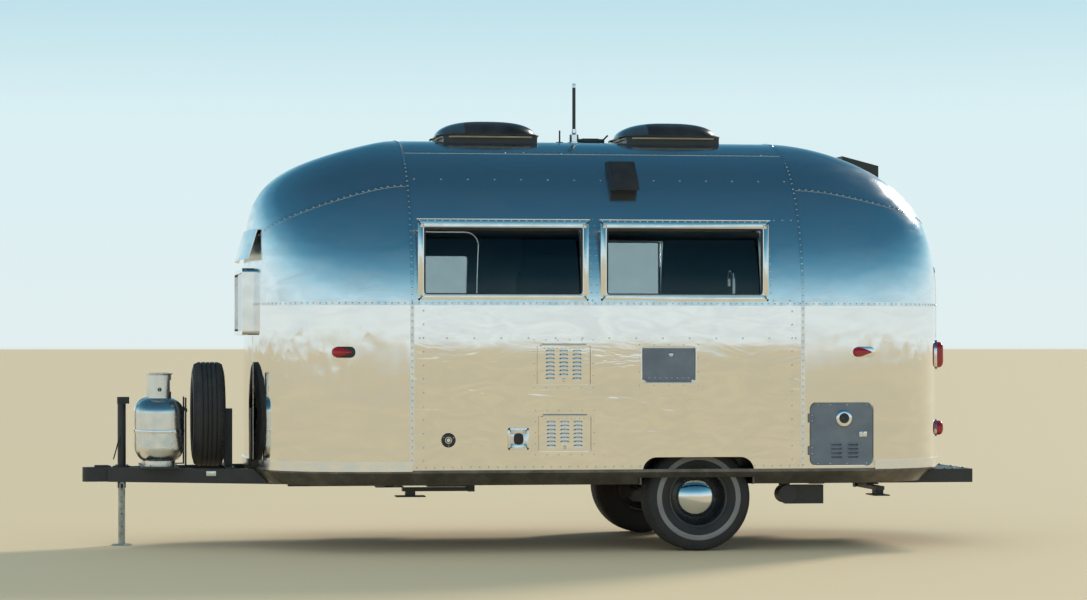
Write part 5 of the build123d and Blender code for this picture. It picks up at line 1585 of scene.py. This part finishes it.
@dataclass(frozen=True)
class RoofGear:
    """The antenna's bright yoke, collar and tip cap."""

    antenna_x: float = 0.386
    roof_z: float = 2.825

    def build(self) -> None:
        """Makes the pieces."""
        place = Matrix.Translation((self.antenna_x, 0, self.roof_z))
        saddle = ((0.0345, 0.0), (0.052, 0.0), (0.052, 0.005), (0.036, 0.009), (0.0355, 0.058), (0.032, 0.0615),
                  (0.0125, 0.0615), (0.0125, 0.06), (0.0345, 0.06))
        yoke = Bench.lathe("antenna_yoke", saddle, place, 40)
        collar = Bench.lathe("antenna_collar", ((0.0125, 0.07), (0.018, 0.072), (0.018, 0.1), (0.0125, 0.103)),
                             place, 32)
        seat(Bench.join("antenna_fittings", [yoke, collar]), CHROME)
        button = ((0, 0.4225), (0.0125, 0.42), (0.0132, 0.41), (0.0132, 0.395), (0.0122, 0.394), (0, 0.394))
        tip = Bench.lathe("antenna_tip_cap", button, place, 24)
        seat(tip, CHROME)


@dataclass(frozen=True)
class RubTrim:
    """The screws along the bright rub trim round both ends, but not where the heater door breaks it."""

    skin: Skin
    ends: tuple[float, float] = (-0.91, 1.75)
    z: float = 0.588
    proud: float = 0.0106
    count: int = 48
    break_x: float = 2.27

    def build(self) -> None:
        """Sets the screws."""
        places = []
        for x, way in zip(self.ends, (-1, 1)):
            for step in range(1, self.count):
                angle = math.pi * step / self.count
                found = self.skin.hit((x, 0, self.z), (way * math.sin(angle), -math.cos(angle), 0))
                if found and not (way > 0 and found[0].y < 0 and found[0].x < self.break_x):
                    places.append((found[0] + found[1] * self.proud, found[1]))
        seat(Bench.stamp("rub_trim_screws", rivet(0.0045, 0.002), places), RIVET)


@dataclass(frozen=True)
class EntryDoor:
    """The entry door's lock, scuff plate and rivets, and the grab handle beside it."""

    flat: tuple[float, float] = (-0.472, 1.45)
    edge_x: tuple[float, ...] = (-0.765, -0.18)
    edge_z: tuple[float, ...] = (0.68, 0.78, 0.88, 0.98, 1.08, 1.36, 1.46)
    scuff_x: tuple[float, ...] = (-0.74, -0.6, -0.475, -0.35, -0.21)
    scuff_z: tuple[float, ...] = (0.66, 0.8)
    body: str = "entry_door_leaf"

    def build(self) -> None:
        """Makes the door's pieces."""
        leaf = Skin(["entry_door"])
        point, _ = leaf.hit((self.flat[0], 0, self.flat[1]), TO_KERB)
        face = point.y
        Latch("entry_lock", (-0.205, face, 1.18), TO_KERB, self.body, 0.014).build()
        scuff = Bench.plate("entry_scuff_plate", (-0.475, face + 0.0008, 0.73), (0.56, 0.16), 0.01, 0.0014,
                            TO_KERB)
        seat(scuff, EXTRUSION, self.body)
        places = leaf.follow(((x, 0, z), TO_KERB) for x in self.edge_x for z in self.edge_z)
        for x in self.scuff_x:
            for z in self.scuff_z:
                places.append((Vector((x, face + 0.0015, z)), TO_KERB))
        seat(Bench.stamp("entry_door_rivets", rivet(0.005, 0.0022), places), RIVET, self.body)
        grab = Bench.pipe("grab_handle", ((-0.085, 1.068, 1.02), (-0.085, 1.105, 1.02), (-0.085, 1.106, 1.06),
                                          (-0.085, 1.106, 1.36), (-0.085, 1.105, 1.4), (-0.085, 1.068, 1.4)), 0.0075)
        feet = [Bench.plate(f"grab_foot_{z}", (-0.085, 1.0712, z), (0.032, 0.05), 0.012, 0.0025, TO_KERB)
                for z in (1.02, 1.4)]
        seat(Bench.join("grab_handle_assembly", [grab, *feet]), CHROME)


@dataclass(frozen=True)
class GalleyFront:
    """The galley's worktop, drawer fronts and pulls."""

    x: tuple[float, float] = (0.45, 1.65)
    front_y: float = -0.56
    z: tuple[float, float] = (0.6, 1.5)
    drawers: tuple[tuple[float, float], ...] = ((1.37, 0.17), (1.16, 0.2), (0.84, 0.4))

    def build(self) -> None:
        """Makes the galley's fronts."""
        top = Bench.box("galley_worktop", (self.x[0] - 0.004, -1.02, self.z[1]),
                        (self.x[1] + 0.004, self.front_y + 0.015, self.z[1] + 0.018), 0.004)
        seat(top, WORKTOP)
        fronts, pulls = [], []
        width = (self.x[1] - self.x[0]) / 3
        for column in range(3):
            middle = self.x[0] + width * (column + 0.5)
            for z, height in self.drawers:
                fronts.append(Bench.plate(f"front_{column}_{z}", (middle, self.front_y + 0.006, z),
                                          (width - 0.02, height), 0.006, 0.011, TO_KERB, edge=0.003))
                pulls.append(Bench.plate(f"pull_{column}_{z}", (middle, self.front_y + 0.016, z + height / 2 - 0.03),
                                         (0.1, 0.012), 0.005, 0.008, TO_KERB, edge=0.002))
        seat(Bench.join("galley_fronts", fronts), VENEER)
        seat(Bench.join("galley_pulls", pulls), CHROME)


@dataclass(frozen=True)
class WindowBlind:
    """The dark blind drawn over the front half of the kerb window, with its roller box."""

    x: tuple[float, float] = (0.15, 0.735)
    y: float = 1.0
    z: tuple[float, float] = (1.69, 2.2)

    def build(self) -> None:
        """Makes the blind and its box."""
        middle, width = sum(self.x) / 2, self.x[1] - self.x[0]
        cloth = Bench.plate("blind_leaf", (middle, self.y, sum(self.z) / 2), (width, self.z[1] - self.z[0]), 0.006,
                            0.004, TO_STREET)
        box = Bench.box("blind_box", (self.x[0], self.y - 0.03, self.z[1] - 0.02),
                        (self.x[1], self.y + 0.05, self.z[1] + 0.04), 0.008)
        seat(Bench.join("kerb_window_blind", [cloth, box]), SEAL)


@dataclass(frozen=True)
class Underside:
    """Bolts through the axle mounts, the rails' rear ends and the bumper."""

    rail_y: float = 0.6
    axle_x: tuple[float, ...] = (0.995, 1.115)
    end_x: tuple[float, ...] = (2.9, 2.96)
    bumper_y: tuple[float, ...] = (-0.5, -0.25, 0, 0.25, 0.5)

    def build(self) -> None:
        """Sets the bolts."""
        places = []
        for hand in (-1, 1):
            for x in self.axle_x:
                places.append((Vector((x, hand * (self.rail_y + 0.031), 0.49)), Vector((0, hand, 0))))
            for x in self.end_x:
                places.append((Vector((x, hand * self.rail_y, 0.531)), UPWARDS))
        _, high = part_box("rear_bumper")
        for y in self.bumper_y:
            places.append((Vector((high.x - 0.03, y, high.z)), UPWARDS))
        seat(Bench.stamp("frame_bolts", hex_bolt(0.01, 0.008), places), ZINC)


@dataclass(frozen=True)
class FarLamp:
    """One far lamp: where it stands and how soft it is, in degrees, how strong it is, and its colour."""

    azimuth: float
    height: float
    softness: float
    strength: float
    colour: Colour
    mirrored: bool

    def build(self, name: str) -> None:
        """Hangs the lamp.

        Args:
            name: The lamp's name.
        """
        lamp = bpy.data.lights.new(name, "SUN")
        lamp.energy = self.strength
        lamp.angle = math.radians(self.softness)
        lamp.color = self.colour
        made = bpy.data.objects.new(name, lamp)
        bpy.context.collection.objects.link(made)
        turn, rise = math.radians(self.azimuth), math.radians(self.height)
        way = Vector((math.cos(turn) * math.cos(rise), math.sin(turn) * math.cos(rise), math.sin(rise)))
        made.rotation_euler = way.to_track_quat("Z", "Y").to_euler()
        made.visible_glossy = self.mirrored


@dataclass(frozen=True)
class StudioStage:
    """The plain floor, the plain sky, the lamps and the camera.

    `light` holds what diffuse rays meet, and `sky` what the camera, metal and glass see, each as stops from
    straight down (0) to straight up (1).
    """

    floor_half: float = 900.0
    camera_place: tuple[float, float, float] = (-3.12, -18.07, 1.39)
    yaw_deg: float = 6.7
    lens: float = 85.6
    shift: tuple[float, float] = (0.15, 0.0418)
    key: FarLamp = FarLamp(42.0, 26.0, 12.0, 2.4, (1.0, 0.93, 0.82), True)
    fill: FarLamp = FarLamp(-150.0, 50.0, 90.0, 0.7, (1.0, 0.97, 0.93), False)
    sand: Colour = (0.7, 0.52, 0.31)
    light: tuple[tuple[float, Colour], ...] = (
        (0.0, (0.66, 0.54, 0.39)),
        (0.499, (0.7, 0.62, 0.52)),
        (0.503, (0.86, 0.87, 0.86)),
        (0.53, (0.76, 0.86, 0.9)),
        (0.62, (0.52, 0.72, 0.82)),
        (1.0, (0.3, 0.5, 0.66)),
    )
    sky: tuple[tuple[float, Colour], ...] = (
        (0.499, (0.78, 0.62, 0.42)),
        (0.5, (0.76, 0.86, 0.87)),
        (0.545, (0.7, 0.87, 0.9)),
        (0.585, (0.36, 0.65, 0.77)),
        (0.65, (0.09, 0.29, 0.42)),
        (0.75, (0.03, 0.13, 0.22)),
        (1.0, (0.02, 0.07, 0.12)),
    )

    def floor(self) -> None:
        """Lays the floor."""
        bpy.ops.object.select_all(action="DESELECT")
        bpy.ops.mesh.primitive_plane_add(size=2 * self.floor_half)
        floor = bpy.context.object
        floor.name = "floor_plane"
        wires = Wires("floor_sand")
        wires.shader.inputs["Roughness"].default_value = 0.9
        wires.shader.inputs["Base Color"].default_value = (*self.sand, 1)
        floor.data.materials.append(wires.material)

    def world(self) -> None:
        """Gives the world a plain sky, the same for the camera, for metal and for glass, over plain even light."""
        world = bpy.data.worlds.new("plain_sky")
        bpy.context.scene.world = world
        world.use_nodes = True
        tree = world.node_tree
        nodes, links = tree.nodes, tree.links
        source = nodes.new("ShaderNodeTexCoord")
        split = nodes.new("ShaderNodeSeparateXYZ")
        links.new(source.outputs["Generated"], split.inputs["Vector"])
        remap = nodes.new("ShaderNodeMapRange")
        remap.inputs["From Min"].default_value = -1
        links.new(split.outputs["Z"], remap.inputs["Value"])
        height = remap.outputs["Result"]
        path = nodes.new("ShaderNodeLightPath")
        shown = path.outputs["Is Camera Ray"]
        for kind in ("Is Glossy Ray", "Is Transmission Ray"):
            either = nodes.new("ShaderNodeMath")
            either.operation = "MAXIMUM"
            links.new(shown, either.inputs[0])
            links.new(path.outputs[kind], either.inputs[1])
            shown = either.outputs["Value"]
        choice = nodes.new("ShaderNodeMix")
        choice.data_type = "RGBA"
        links.new(shown, choice.inputs["Factor"])
        links.new(colour_ramp(tree, height, self.light), choice.inputs[MIX_COLOUR_A])
        links.new(colour_ramp(tree, height, self.sky), choice.inputs[MIX_COLOUR_B])
        links.new(choice.outputs[MIX_COLOUR_OUT], nodes["Background"].inputs["Color"])
        nodes["Background"].inputs["Strength"].default_value = 1.0

    def lights(self) -> None:
        """Hangs the low key light behind the rear corner and a broad fill on the camera's side."""
        self.key.build("key_light")
        self.fill.build("fill_light")

    def camera(self) -> None:
        """Sets the camera up square to the side, turned a little towards the rear."""
        lens = bpy.data.cameras.new("view_camera")
        lens.lens = self.lens
        lens.shift_x, lens.shift_y = self.shift
        lens.clip_end = 3000
        made = bpy.data.objects.new("view_camera", lens)
        bpy.context.collection.objects.link(made)
        made.location = self.camera_place
        made.rotation_euler = (math.radians(90), 0, -math.radians(self.yaw_deg))
        bpy.context.scene.camera = made

    def build(self) -> None:
        """Builds the whole stage."""
        self.floor()
        self.world()
        self.lights()
        self.camera()
        bpy.context.scene.view_settings.view_transform = "Standard"
        LOG.info("stage is set")


def main() -> None:
    """Builds every sub-assembly in order and reports each piece."""
    logging.basicConfig(level=logging.INFO, format="%(name)s: %(message)s")
    clear_start_file()
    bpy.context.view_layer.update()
    dress_nodes()
    skin = Skin(nodes_named("front_wall", "front_dome", "rear_wall", "rear_dome", "street_side", "kerb_side",
                            "roof_panel"))
    roof_low, roof_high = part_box("roof_panel")
    SeamWork(skin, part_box("front_dome")[0].z, (roof_high.y, roof_low.z), (roof_low.x, roof_high.x),
             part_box("front_wall")[0].z + 0.02).build()
    for window in (SideWindow("street_window_front", Side.STREET, -0.298),
                   SideWindow("street_window_rear", Side.STREET, 0.935),
                   SideWindow("kerb_window", Side.KERB, 0.715)):
        window.build()
    SmallDoors().build()
    SideFittings().build()
    HeaterDoor().build()
    LampTrim(skin).build()
    for side in Side:
        place = side.name.lower()
        RoadWheel(side, place + "_wheel", "tyre_" + place).build()
    SpareMount().build()
    GasRack().build()
    TongueGear().build()
    for vent in (RoofVent("front_vent", -0.258, "vent_lid_front", "front_vent_lid"),
                 RoofVent("rear_vent", 1.04, "vent_lid_rear", "rear_vent_lid")):
        vent.build()
    RoofGear().build()
    RubTrim(skin).build()
    EntryDoor().build()
    GalleyFront().build()
    WindowBlind().build()
    Underside().build()
    StudioStage().build()


if __name__ == "__main__":
    main()
